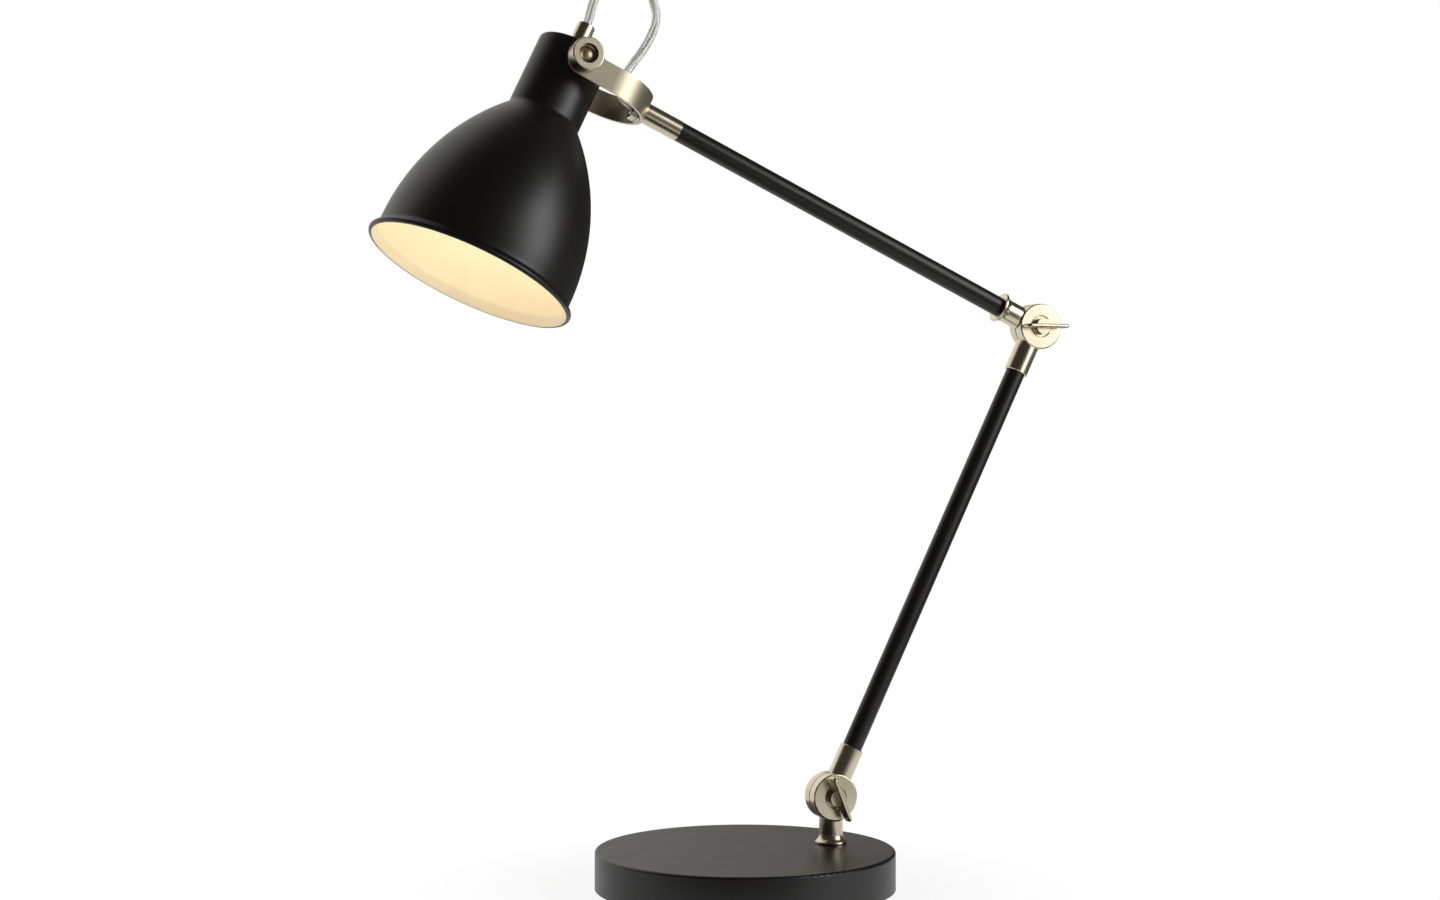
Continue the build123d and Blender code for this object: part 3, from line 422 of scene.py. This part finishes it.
# %% Powder coat and enamel
powder_coat, tree, shader, place = new_finish("satin_black_powder_coat")
shader.inputs["Base Color"].default_value = linear("111112")
cloud = put(tree, "ShaderNodeTexNoise", {"Vector": place, "Scale": per_metre(14.0), "Detail": 3.0})
gloss = put(tree, "ShaderNodeMapRange", {"Value": cloud.outputs["Fac"], "To Min": 0.34, "To Max": 0.42})
tree.links.new(gloss.outputs["Result"], shader.inputs["Roughness"])
peel = put(tree, "ShaderNodeTexNoise", {"Vector": place, "Scale": per_metre(1.2), "Detail": 2.0})
relief = put(tree, "ShaderNodeBump", {"Height": peel.outputs["Fac"], "Strength": 0.1, "Distance": 0.00012})
tree.links.new(relief.outputs["Normal"], shader.inputs["Normal"])
dress(powder_coat, "base_cover", "lower_arm_tube", "upper_arm_tube")

enamel, tree, shader, place = new_finish("warm_white_stove_enamel")
flow = put(tree, "ShaderNodeTexNoise", {"Vector": place, "Scale": per_metre(11.0), "Detail": 3.0})
peel = put(tree, "ShaderNodeTexNoise", {"Vector": place, "Scale": per_metre(1.6), "Detail": 1.0})
grade(
    tree,
    shader,
    flow.outputs["Fac"],
    ("F3EDDF", "FAF6EC"),
    (0.28, 0.4),
    relief=(peel.outputs["Fac"], 0.08, 0.0001),
)
print("for the shade:", powder_coat.name, "and", enamel.name)

# %% [markdown]
# ## Sizes of the shade
# The shade is spun from one disc of steel, so one profile says all about it: a flat top, a short neck,
# a crease, a bell that is a single arc, a short skirt, a flare and a rolled bead. It could be drawn
# point by point, but straight runs and arcs follow from a few sizes. They are in millimetres from the
# tilt pivot, as radius and height.


# %% Shade sizes
def flare_arc(top, foot):
    """Radius of the arc that leaves the skirt upright at top and goes through foot, and its turn."""
    out, down = foot[0] - top[0], top[1] - foot[1]
    radius = (out**2 + down**2) / (2 * out)
    return radius, math.degrees(math.atan2(down, radius - out))


HOLE = 5.05  # radius, for the cord grip
NECK = 21.8  # outer radius
NECK_TOP = 12.3
NECK_EDGE = 1.5  # rounding of the top edge
WALL = 1.0
CREASE_HEIGHT = -33.7
CREASE = 5.0  # rounding under the neck
BELL = 137.0  # radius of the arc
BELL_ANGLE = math.radians(43)  # of the arc where it meets the neck
SKIRT = 3.9  # height under the arc
FLARE = 6.6  # height of the flare with the bead
RIM_FLARE = 3.7  # how far the rim stands out
BEAD = 1.6  # radius
bell_centre = (NECK - BELL * math.cos(BELL_ANGLE), CREASE_HEIGHT - BELL * math.sin(BELL_ANGLE))
bell_outer = bell_centre[0] + BELL
flare_top = bell_centre[1] - SKIRT
bead_centre = (bell_outer + RIM_FLARE - BEAD, flare_top - FLARE + BEAD)
crease_rise = math.sqrt((BELL + CREASE) ** 2 - (NECK + CREASE - bell_centre[0]) ** 2)
crease_centre = (NECK + CREASE, bell_centre[1] + crease_rise)
crease_turn = math.degrees(math.atan2(crease_rise, NECK + CREASE - bell_centre[0]))
skirt_out = (bell_outer, flare_top)
skirt_in = (bell_outer - WALL, flare_top)
flare_radius, flare_turn = flare_arc(skirt_out, (bead_centre[0], bead_centre[1] + BEAD))
lining_radius, lining_turn = flare_arc(skirt_in, bead_centre)
fill_turn = lining_turn + math.degrees(math.acos((BEAD - lining_radius) / lining_radius))
lining_angle = math.degrees(math.acos((NECK - WALL - bell_centre[0]) / (BELL - WALL)))
print("shade across the rim in mm:", round(2 * (bead_centre[0] + BEAD), 1))

# %% [markdown]
# ## Profile of the shade
# The profile runs down the outside, round the bead and up the inside. The black goes round the bead to
# a little past its lowest point, where the enamel begins. The enamel fills the crease above the bead
# with one straight run that touches both arcs.

# %% Shade profile
SAME_POINT = 0.01


def arc(centre, radius, start, end, steps):
    """Points along an arc between two angles in degrees."""
    angles = [math.radians(start + (end - start) * step / steps) for step in range(steps + 1)]
    return [(centre[0] + radius * math.cos(a), centre[1] + radius * math.sin(a)) for a in angles]


def run(a, b, steps):
    """Points along a straight run."""
    return [
        (a[0] + (b[0] - a[0]) * step / steps, a[1] + (b[1] - a[1]) * step / steps)
        for step in range(steps + 1)
    ]


def extend(profile, points):
    """Add points to a profile, leaving out one that repeats the last."""
    for point in points:
        if not profile or math.dist(point, profile[-1]) > SAME_POINT:
            profile.append(point)


BLACK_END = -110  # where round the bead, in degrees, the enamel begins
lining_arc = arc((skirt_in[0] + lining_radius, flare_top), lining_radius, fill_turn, 180, steps=6)
bead_arc = arc(bead_centre, BEAD, BLACK_END, fill_turn - 360, steps=12)
lining_neck = (NECK - WALL, bell_centre[1] + (BELL - WALL) * math.sin(math.radians(lining_angle)))
lining_top = (NECK - WALL, NECK_TOP - WALL)
outside = (
    run((HOLE, NECK_TOP), (NECK - NECK_EDGE, NECK_TOP), steps=8)
    + arc((NECK - NECK_EDGE, NECK_TOP - NECK_EDGE), NECK_EDGE, 90, 0, steps=8)
    + run((NECK, NECK_TOP - NECK_EDGE), (NECK, crease_centre[1]), steps=12)
    + arc(crease_centre, CREASE, 180, 180 + crease_turn, steps=12)
    + arc(bell_centre, BELL, crease_turn, 0, steps=40)
    + run((bell_outer, bell_centre[1]), skirt_out, steps=3)
    + arc((bell_outer + flare_radius, flare_top), flare_radius, 180, 180 + flare_turn, steps=10)
    + arc(bead_centre, BEAD, 90, BLACK_END, steps=22)
)
inside = (
    bead_arc
    + run(bead_arc[-1], lining_arc[0], steps=4)
    + lining_arc
    + run(skirt_in, (skirt_in[0], bell_centre[1]), steps=3)
    + arc(bell_centre, BELL - WALL, 0, lining_angle, steps=40)
    + run(lining_neck, lining_top, steps=14)
    + run(lining_top, (HOLE, NECK_TOP - WALL), steps=8)
    + [(HOLE, NECK_TOP)]
)
profile = []
extend(profile, outside)
inside_row = len(profile) - 1
extend(profile, inside)
print("shade profile:", len(profile), "points, enamel from row", inside_row)

# %% [markdown]
# ## Turning the shade
# A Screw modifier could turn the profile, but its faces would all have one finish. A lathe is a rule,
# so it is a small tree: a grid has one row for each point of the profile and one column for each step
# of the turn, and every point of the grid is moved to its radius, height and angle. The rows past the
# foot of the bead get the enamel.

# %% Lathe
lathe, given = new_tree(
    "lathe",
    {
        "Steps": "NodeSocketInt",
        "Lining row": "NodeSocketInt",
        "Outside": "NodeSocketMaterial",
        "Lining": "NodeSocketMaterial",
    },
)
start = given["Geometry"]
rows = put(lathe, "GeometryNodeAttributeDomainSize", {"Geometry": start}).outputs["Point Count"]
columns = put(lathe, "ShaderNodeMath", {0: given["Steps"], 1: 1.0}, operation="ADD").outputs[0]
grid = put(
    lathe,
    "GeometryNodeMeshGrid",
    {"Size X": 1.0, "Size Y": 1.0, "Vertices X": rows, "Vertices Y": columns},
)
number = put(lathe, "GeometryNodeInputIndex").outputs[0]
share = put(lathe, "ShaderNodeMath", {0: number, 1: columns}, operation="DIVIDE").outputs[0]
row = put(lathe, "ShaderNodeMath", {0: share}, operation="FLOOR").outputs[0]
column = put(lathe, "ShaderNodeMath", {0: number, 1: columns}, operation="MODULO").outputs[0]
position = put(lathe, "GeometryNodeInputPosition").outputs[0]
sampled = put(
    lathe,
    "GeometryNodeSampleIndex",
    {"Geometry": start, "Value": position, "Index": row},
    data_type="FLOAT_VECTOR",
)
spot = put(lathe, "ShaderNodeSeparateXYZ", {0: sampled.outputs["Value"]})
part_turn = put(lathe, "ShaderNodeMath", {0: column, 1: given["Steps"]}, operation="DIVIDE").outputs[0]
angle = put(lathe, "ShaderNodeMath", {0: part_turn, 1: math.tau}, operation="MULTIPLY").outputs[0]
cosine = put(lathe, "ShaderNodeMath", {0: angle}, operation="COSINE").outputs[0]
sine = put(lathe, "ShaderNodeMath", {0: angle}, operation="SINE").outputs[0]
out_x = put(lathe, "ShaderNodeMath", {0: spot.outputs["X"], 1: cosine}, operation="MULTIPLY").outputs[0]
out_y = put(lathe, "ShaderNodeMath", {0: spot.outputs["X"], 1: sine}, operation="MULTIPLY").outputs[0]
turned = put(lathe, "ShaderNodeCombineXYZ", {"X": out_x, "Y": out_y, "Z": spot.outputs["Z"]}).outputs[0]
spun = put(lathe, "GeometryNodeSetPosition", {"Geometry": grid.outputs["Mesh"], "Position": turned})
painted = made_real(lathe, spun.outputs["Geometry"], given["Outside"])
first_lined = put(lathe, "ShaderNodeMath", {0: given["Lining row"], 1: given["Steps"]}, operation="MULTIPLY")
is_lining = put(
    lathe,
    "FunctionNodeCompare",
    {"A": number, "B": first_lined.outputs[0]},
    operation="GREATER_EQUAL",
)
lined = put(
    lathe,
    "GeometryNodeSetMaterial",
    {"Geometry": painted, "Selection": is_lining.outputs["Result"], "Material": given["Lining"]},
)
put(lathe, "NodeGroupOutput", {"Geometry": lined.outputs["Geometry"]})
print("lathe tree of", len(lathe.nodes), "nodes")

# %% [markdown]
# ## The shade in its place
# The lathe leaves a seam where its turn closes. Its points are merged so that the shell is one closed
# skin, its faces are set to point outwards, and the whole is stood on the shade's own axis.

# %% Shade shell
TURN_STEPS = 160
SEAM = 1e-6
profile_mesh = bpy.data.meshes.new("shade_profile")
profile_mesh.from_pydata([(r / 1000, 0, h / 1000) for r, h in profile], [], [])
shade_shell = grow(
    "shade_shell",
    profile_mesh,
    lathe,
    {"Steps": TURN_STEPS, "Lining row": inside_row, "Outside": powder_coat, "Lining": enamel},
)
work = bmesh.new()
work.from_mesh(shade_shell.data)
bmesh.ops.remove_doubles(work, verts=work.verts, dist=SEAM)
bmesh.ops.recalc_face_normals(work, faces=work.faces)
work.to_mesh(shade_shell.data)
work.free()
stand = Matrix((shade_side, shade_up.cross(shade_side), shade_up)).transposed().to_4x4()
shade_shell.data.transform(Matrix.Translation(head) @ stand)
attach(shade_shell, "shade")
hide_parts("shade_neck", "shade_bell")
lining_faces = sum(face.material_index for face in shade_shell.data.polygons)
print("shade finishes:", [finish.name for finish in shade_shell.data.materials])
print("enamelled faces:", lining_faces)

# %% [markdown]
# ## Turned brass
# The post, ferrules, elbow stub, bush, cups and grip are turned from pale brass bar and left satin. A
# lathe tool leaves fine rings round the axis of each piece, on its sides as steps along the axis and on
# its faces as circles. Two textures could draw them, but one measure covers both: the height along the
# axis plus the distance from it. The real rings are about a tenth of a millimetre apart, too fine to
# see here, so they are drawn at about 0.8 mm.


# %% Lathe marks
def about_axis(tree, place, centre, axis):
    """Height along an axis and distance from it."""
    turn = axis.to_track_quat("Z", "Y").to_euler()
    setting = {"Vector": place, "Location": centre, "Rotation": turn}
    local = put(tree, "ShaderNodeMapping", setting, vector_type="TEXTURE")
    apart = put(tree, "ShaderNodeSeparateXYZ", {0: local.outputs[0]})
    flat = put(tree, "ShaderNodeCombineXYZ", {"X": apart.outputs["X"], "Y": apart.outputs["Y"]})
    distance = put(tree, "ShaderNodeVectorMath", {0: flat.outputs[0]}, operation="LENGTH")
    return apart.outputs["Z"], distance.outputs["Value"]


FACE_ON = 0.95  # how square to the knuckle's axis a flat face has to be


def turned_brass(name, centre, axis, face_centre=None):
    """Satin brass with lathe rings about one axis, and about the knuckle's own axis on its flat faces."""
    finish, tree, shader, place = new_finish(name, metallic=1.0)
    height, distance = about_axis(tree, place, centre, axis)
    measure = put(tree, "ShaderNodeMath", {0: height, 1: distance}, operation="ADD").outputs[0]
    if face_centre is not None:
        flat = put(tree, "ShaderNodeSeparateXYZ", {0: place.node.outputs["Normal"]})
        facing = put(tree, "ShaderNodeMath", {0: flat.outputs["Y"]}, operation="ABSOLUTE").outputs[0]
        is_face = put(tree, "ShaderNodeMath", {0: facing, 1: FACE_ON}, operation="GREATER_THAN").outputs[0]
        face_distance = about_axis(tree, place, face_centre, knuckle_axis)[1]
        measure = put(tree, "ShaderNodeMix", {0: is_face, 2: measure, 3: face_distance}).outputs[0]
    pitch = {"W": measure, "Scale": per_metre(0.8), "Detail": 2.0}
    rings = put(tree, "ShaderNodeTexNoise", pitch, noise_dimensions="1D").outputs["Fac"]
    patina = put(tree, "ShaderNodeTexNoise", {"Vector": place, "Scale": per_metre(16.0), "Detail": 2.0})
    edges = {"Value": patina.outputs["Fac"], "From Min": 0.35, "From Max": 0.7}
    blotch = put(tree, "ShaderNodeMapRange", edges).outputs["Result"]
    grade(
        tree,
        shader,
        rings,
        ("DFD6C0", "D2C7AB"),
        (0.2, 0.25),
        tone=blotch,
        relief=(rings, 0.05, 0.00002),
    )
    return finish


# %% Turned pieces
post = Vector((lower_pivot.x, 0, 0))
dress(turned_brass("turned_brass_post", post, UPRIGHT, lower_pivot), "base_post")
dress(turned_brass("turned_brass_lower_ferrule", lower_pivot, lower_line, lower_pivot), "lower_ferrule")
dress(turned_brass("turned_brass_elbow_ferrule", elbow, lower_line, elbow), "elbow_ferrule")
dress(turned_brass("turned_brass_elbow_stub", elbow, upper_line, elbow), "elbow_stub")
dress(turned_brass("turned_brass_bush", head, upper_line), "yoke_bush")
dress(turned_brass("turned_brass_cups", head, tilt_axis), "pivot_cups")
dress(turned_brass("turned_brass_grip", head, shade_up), "cord_grip", "grip_nut")

# %% [markdown]
# ## Brushed strap and polished castings
# The yoke is a strip of the same brass, brushed along its length before it was bent, so its lines
# follow the bend. A UV map could carry them round it, but they depend only on the place across the
# strip, and a one-dimensional noise does that alone. Brushing lines are a few hundredths of a
# millimetre wide, drawn here at 0.5 mm so that they show. The wing screws are small castings that were
# tumbled bright, and the domed pivot screws have a darker bronze tone with a satin face.

# %% Strap, wings and domes
strap_brass, tree, shader, place = new_finish("brushed_brass_strip", metallic=1.0)
width_place = about_axis(tree, place, head, towards_elbow.cross(knuckle_axis))[0]
stroke = {"W": width_place, "Scale": per_metre(0.5), "Detail": 3.0}
lines = put(tree, "ShaderNodeTexNoise", stroke, noise_dimensions="1D").outputs["Fac"]
patina = put(tree, "ShaderNodeTexNoise", {"Vector": place, "Scale": per_metre(9.0), "Detail": 4.0})
worn = put(tree, "ShaderNodeMath", {0: lines, 1: patina.outputs["Fac"]}, operation="MULTIPLY").outputs[0]
grade(tree, shader, lines, ("CFC6AF", "BCB197"), (0.34, 0.42), tone=worn, relief=(lines, 0.05, 0.00002))
dress(strap_brass, "yoke")

cast_brass, tree, shader, place = new_finish("tumbled_cast_brass", metallic=1.0)
cast = {"Vector": place, "Scale": per_metre(2.2), "Detail": 3.0}
grain = put(tree, "ShaderNodeTexNoise", cast).outputs["Fac"]
grade(tree, shader, grain, ("CCC1A4", "D9CFB6"), (0.2, 0.28), relief=(grain, 0.06, 0.00004))
dress(cast_brass, "lower_wing_screw", "elbow_wing_screw")

dome_bronze, tree, shader, place = new_finish("satin_bronze_dome", metallic=1.0)
haze = put(tree, "ShaderNodeTexNoise", {"Vector": place, "Scale": per_metre(1.4), "Detail": 2.0})
grade(tree, shader, haze.outputs["Fac"], ("B6A688", "C6B79A"), (0.4, 0.48))
dress(dome_bronze, "pivot_screws")

# %% [markdown]
# ## Plated and plain steel, and cast iron
# The hollow bolts, their nuts and washers, the pivots' nuts and spacers and the bottom plate's screws
# are bright zinc plate, which has a fine crystal mottle. Noise has no facets, so the cells of a Voronoi
# texture stand for the crystals. The bottom plate is plain rolled sheet with faint lines along the
# roll, and the weight is grey iron as it left the sand mould.

# %% Steel and iron
zinc_plate, tree, shader, place = new_finish("bright_zinc_plate", metallic=1.0)
crystal = put(tree, "ShaderNodeTexVoronoi", {"Vector": place, "Scale": per_metre(0.9)})
mottle = put(tree, "ShaderNodeSeparateColor", {0: crystal.outputs["Color"]})
grade(tree, shader, mottle.outputs[0], ("BDBAB0", "CFCCC3"), (0.2, 0.34))
dress(
    zinc_plate,
    "base_plate_screws",
    "base_bolt",
    "base_washer",
    "base_nut",
    "elbow_bolt",
    "yoke_bolt",
    "yoke_washer",
    "yoke_nut",
    "pivot_nuts",
    "pivot_spacers",
)

rolled_steel, tree, shader, place = new_finish("rolled_sheet_steel", metallic=1.0)
streak = (per_metre(40.0), per_metre(0.7), per_metre(5.0))
stretch = put(tree, "ShaderNodeMapping", {"Vector": place, "Scale": streak})
roll = put(tree, "ShaderNodeTexNoise", {"Vector": stretch.outputs[0], "Scale": 1.0, "Detail": 3.0})
grade(tree, shader, roll.outputs["Fac"], ("8E8F90", "B4B5B4"), (0.3, 0.5))
dress(rolled_steel, "base_plate")

grey_iron, tree, shader, place = new_finish("sand_cast_iron", metallic=1.0)
mould = {"Vector": place, "Scale": per_metre(1.3), "Detail": 5.0}
sand = put(tree, "ShaderNodeTexNoise", mould).outputs["Fac"]
grade(tree, shader, sand, ("4A4A4A", "6E6C6A"), (0.55, 0.8), relief=(sand, 0.5, 0.0004))
dress(grey_iron, "base_weight")

# %% [markdown]
# ## Rubber, fibre and mouldings
# The foot is a sheet of black foam rubber with a closed skin full of tiny pits. The washers in the
# knuckles are pressed fibre, the inlet gland is moulded nylon, and the lampholder is a pale thermoset
# moulding. They differ in gloss more than in colour, so one function makes all four.


# %% Soft and moulded pieces
def moulding(name, colours, grain_mm, gloss, strength):
    """A plastic, rubber or fibre whose tone, gloss and relief share one grain."""
    finish, tree, shader, place = new_finish(name)
    texture = {"Vector": place, "Scale": per_metre(grain_mm), "Detail": 4.0}
    grain = put(tree, "ShaderNodeTexNoise", texture).outputs["Fac"]
    grade(tree, shader, grain, colours, gloss, relief=(grain, strength, 0.0002))
    return finish


foam_rubber = moulding("foam_rubber_sheet", ("141414", "26262A"), 0.9, (0.75, 0.95), 0.5)
pressed_fibre = moulding("pressed_fibre", ("3A322C", "57493E"), 0.7, (0.6, 0.8), 0.3)
black_nylon = moulding("moulded_black_nylon", ("101011", "1C1C1E"), 1.0, (0.45, 0.6), 0.15)
pale_thermoset = moulding("pale_thermoset", ("D8D4C9", "E8E5DC"), 2.5, (0.35, 0.5), 0.06)
dress(foam_rubber, "base_pad")
dress(pressed_fibre, "lower_friction_washer", "elbow_friction_washer")
dress(black_nylon, "cord_gland")
dress(pale_thermoset, "lampholder_cap", "lampholder_body")

# %% [markdown]
# ## The bulb, its holder's metal and the flex in the tubes
# The holder's sleeve and contact are pressed from yellow brass strip, and the bulb's cap is rolled
# aluminium. The bulb itself is opal glass, lit from inside: opal scatters so well that the globe glows
# almost evenly, a little weaker towards the cap. A light inside the globe could do that, but glass that
# glows by itself renders with less grain. The flex runs on through both tubes, out of sight, in the
# same PVC.

# %% Bulb and contacts
# By height on the shade's axis, in metres from the tilt pivot
GLOW = {"From Min": -0.085, "From Max": -0.040, "To Min": 2.7, "To Max": 1.5}
pressed_brass, tree, shader, place = new_finish("pressed_brass_strip", metallic=1.0)
film = put(tree, "ShaderNodeTexNoise", {"Vector": place, "Scale": per_metre(2.0), "Detail": 3.0})
grade(tree, shader, film.outputs["Fac"], ("C8A960", "DCC384"), (0.2, 0.35))
dress(pressed_brass, "lampholder_sleeve", "lampholder_contact")

cap_aluminium, tree, shader, place = new_finish("rolled_aluminium_cap", metallic=1.0)
height = about_axis(tree, place, head, shade_up)[0]
groove = {"W": height, "Scale": per_metre(0.6), "Detail": 2.0}
roll = put(tree, "ShaderNodeTexNoise", groove, noise_dimensions="1D")
grade(tree, shader, roll.outputs["Fac"], ("C9C9C8", "E3E3E1"), (0.22, 0.38))
dress(cap_aluminium, "bulb_cap")

opal_glass, tree, shader, place = new_finish("lit_opal_glass")
shader.inputs["Base Color"].default_value = linear("FBF3E2")
shader.inputs["Roughness"].default_value = 0.22
shader.inputs["Emission Color"].default_value = linear("FFF4D2")
height = about_axis(tree, place, head, shade_up)[0]
glow = put(tree, "ShaderNodeMapRange", {"Value": height, **GLOW}, interpolation_type="SMOOTHSTEP")
tree.links.new(glow.outputs["Result"], shader.inputs["Emission Strength"])
dress(opal_glass, "bulb_glass")
dress(clear_pvc, "lower_arm_flex", "upper_arm_flex")

# %% [markdown]
# ## The studio floor
# The lamp stands on a white sweep that keeps only a faint shadow near the base. Black paint and brass
# show what stands round them, so the studio is laid out for its reflections. In the mirror of the metal
# the sweep's glow is painted: bright under the lamp, with painted shade in front of it and far out on
# the right, where it ends. The light that the sweep throws back up is painted warm, standing in for the
# lit bulb shining on it. Black cards could shade a real floor, but here the sweep asks what kind of ray
# looks at it, and answers each in its own way.


# %% Floor
def ray_kinds(tree):
    """The kinds of ray, and whether one comes from the camera, straight or through clear plastic."""
    rays = put(tree, "ShaderNodeLightPath").outputs
    direct = {0: rays["Is Camera Ray"], 1: rays["Is Transmission Ray"]}
    return rays, put(tree, "ShaderNodeMath", direct, operation="MAXIMUM").outputs[0]


FLOOR_REACH = 12
CORNERS = ((-1, -1), (1, -1), (1, 1), (-1, 1))
# By distance from the middle of the base, in metres
SHADOW = {"From Min": 0.09, "From Max": 0.22, "To Min": 0.9, "To Max": 1.0}
floor_mesh = bpy.data.meshes.new("studio_floor")
floor_mesh.from_pydata([(x * FLOOR_REACH, y * FLOOR_REACH, 0) for x, y in CORNERS], [], [(0, 1, 2, 3)])
floor = bpy.data.objects.new("studio_floor", floor_mesh)
scene.collection.objects.link(floor)
sweep = bpy.data.materials.new("white_studio_sweep")
sweep.use_nodes = True
tree = sweep.node_tree
tree.nodes.clear()
paper = put(tree, "ShaderNodeBsdfDiffuse", {"Color": linear("F2F2F2")})
place = put(tree, "ShaderNodeTexCoord").outputs["Object"]
far = put(tree, "ShaderNodeVectorMath", {0: place}, operation="LENGTH").outputs["Value"]
fade = put(tree, "ShaderNodeMapRange", {"Value": far, **SHADOW}, interpolation_type="SMOOTHSTEP")
rays, seen = ray_kinds(tree)
amount = put(tree, "ShaderNodeMix", {0: seen, 2: 1.0, 3: fade.outputs["Result"]}).outputs[0]
print("shadow fades out in mm from the middle:", SHADOW["From Max"] * 1000)

# %% What the floor gives each kind of ray
TO_CAMERA = (-0.3554, -0.9347, 0.0)
TO_RIGHT = (0.9347, -0.3554, 0.0)
# By distance towards the camera and to the right, in metres
FRONT = {"From Min": 0.115, "From Max": 0.17}
MIDDLE = {"From Min": 0.1, "From Max": 0.24, "To Min": 0.78, "To Max": 0.0}
FAR_RIGHT = {"From Min": 0.28, "From Max": 0.46, "To Min": 1.0, "To Max": 0.15}
MIRROR = 0.82
BOUNCE = 0.95
# Painted reflection: glossy rays see the sweep's glow with painted shade in front of the base and far right.
ahead = put(tree, "ShaderNodeVectorMath", {0: place, 1: TO_CAMERA}, operation="DOT_PRODUCT").outputs["Value"]
front = put(tree, "ShaderNodeMapRange", {"Value": ahead, **FRONT}, interpolation_type="SMOOTHSTEP")
aside = put(tree, "ShaderNodeVectorMath", {0: place, 1: TO_RIGHT}, operation="DOT_PRODUCT").outputs["Value"]
middle = put(tree, "ShaderNodeMapRange", {"Value": aside, **MIDDLE}, interpolation_type="SMOOTHSTEP")
both = {0: front.outputs["Result"], 1: middle.outputs["Result"]}
painted_front_shade = put(tree, "ShaderNodeMath", both, operation="MULTIPLY").outputs[0]
lit = put(tree, "ShaderNodeMath", {0: MIRROR, 1: painted_front_shade}, operation="SUBTRACT").outputs[0]
right = put(tree, "ShaderNodeMapRange", {"Value": aside, **FAR_RIGHT}, interpolation_type="SMOOTHSTEP")
painted_reflection_glow = put(tree, "ShaderNodeMath", {0: lit, 1: right.outputs["Result"]}, operation="MULTIPLY").outputs[0]
bounced = put(tree, "ShaderNodeMix", {0: rays["Is Glossy Ray"], 2: BOUNCE, 3: painted_reflection_glow}).outputs[0]
strength = put(tree, "ShaderNodeMix", {0: seen, 2: bounced, 3: 1.0}).outputs[0]
# Painted warm light: diffuse rays see the sweep tinted warm, standing in for the bulb's light on it.
tints = {0: rays["Is Diffuse Ray"], 6: linear("FFFFFF"), 7: linear("FFEBCF")}
painted_warm_bounce = put(tree, "ShaderNodeMix", tints, data_type="RGBA").outputs[2]
bright = put(tree, "ShaderNodeEmission", {"Color": painted_warm_bounce, "Strength": strength}).outputs["Emission"]
look = put(tree, "ShaderNodeMixShader", {0: amount, 1: paper.outputs["BSDF"], 2: bright})
put(tree, "ShaderNodeOutputMaterial", {"Surface": look.outputs["Shader"]})
sweep.cycles.emission_sampling = "NONE"
floor_mesh.materials.append(sweep)
print("floor finish:", sweep.name)

# %% [markdown]
# ## The room
# A white panel hangs behind the lamp on the left, and the rest of the room is dim and warm, a little
# lighter behind the lamp than behind the camera. Walls and a panel could be modelled, but only their
# reflections show, and the world's own colour gives those. The camera itself sees plain white.

# %% World
# By the cosine of the angle off the panel, and off the camera's line of sight
PANEL = {"From Min": 0.62, "From Max": 0.92, "To Min": 0.0, "To Max": 0.9}
ROOM = {"From Min": -0.2, "From Max": 0.9, "To Min": 0.045, "To Max": 0.07}
FROM_CAMERA = (0.3554, 0.9347, 0.0)
studio = bpy.data.worlds.new("studio")
scene.world = studio
studio.use_nodes = True
tree = studio.node_tree
tree.nodes.clear()
direction = put(tree, "ShaderNodeTexCoord").outputs["Generated"]
panel_centre = Vector((-0.25, 0.81, 0.53)).normalized()
near_panel = put(tree, "ShaderNodeVectorMath", {0: direction, 1: panel_centre}, operation="DOT_PRODUCT")
spread = {"Value": near_panel.outputs["Value"], **PANEL}
panel = put(tree, "ShaderNodeMapRange", spread, interpolation_type="SMOOTHSTEP").outputs["Result"]
behind = put(tree, "ShaderNodeVectorMath", {0: direction, 1: FROM_CAMERA}, operation="DOT_PRODUCT")
depth = {"Value": behind.outputs["Value"], **ROOM}
room = put(tree, "ShaderNodeMapRange", depth, interpolation_type="SMOOTHSTEP").outputs["Result"]
level = put(tree, "ShaderNodeMath", {0: panel, 1: room}, operation="ADD").outputs[0]
plain = ray_kinds(tree)[1]
strength = put(tree, "ShaderNodeMix", {0: plain, 2: level, 3: 1.0}).outputs[0]
white = put(tree, "ShaderNodeMath", {0: panel, 1: plain}, operation="MAXIMUM").outputs[0]
tints = {0: white, 6: linear("FFF2E0"), 7: linear("FFFFFF")}
tone = put(tree, "ShaderNodeMix", tints, data_type="RGBA").outputs[2]
sky = put(tree, "ShaderNodeBackground", {"Color": tone, "Strength": strength})
put(tree, "ShaderNodeOutputWorld", {"Surface": sky.outputs["Background"]})
print("white panel towards", [round(value, 2) for value in panel_centre])

# %% [markdown]
# ## The softboxes
# One large softbox on the right draws the long soft light down the shade and the tubes. A real one is
# brighter in its middle, and a texture on the light could do that, but a second, smaller lamp just in
# front of it is simpler to set.


# %% Softboxes
def softbox(name, place, aim, width, height, watts):
    """A rectangular area lamp that looks at a point."""
    lamp = bpy.data.lights.new(name, "AREA")
    lamp.shape = "RECTANGLE"
    lamp.size = width
    lamp.size_y = height
    lamp.energy = watts
    holder = bpy.data.objects.new(name, lamp)
    turn = (aim - place).to_track_quat("-Z", "Y").to_matrix().to_4x4()
    holder.matrix_world = Matrix.Translation(place) @ turn
    scene.collection.objects.link(holder)
    holder.visible_camera = False
    print(name, "of", watts, "W at", [round(value, 2) for value in place])


LIGHT_AIM = Vector((-0.1, 0, 0.5))  # by the head
softbox("softbox_right", Vector((1.70, -1.66, 0.98)), LIGHT_AIM, width=2.3, height=1.9, watts=12.5)
softbox("softbox_core", Vector((1.75, -1.50, 0.95)), LIGHT_AIM, width=1.1, height=1.5, watts=20.0)
scene.view_settings.view_transform = "Standard"
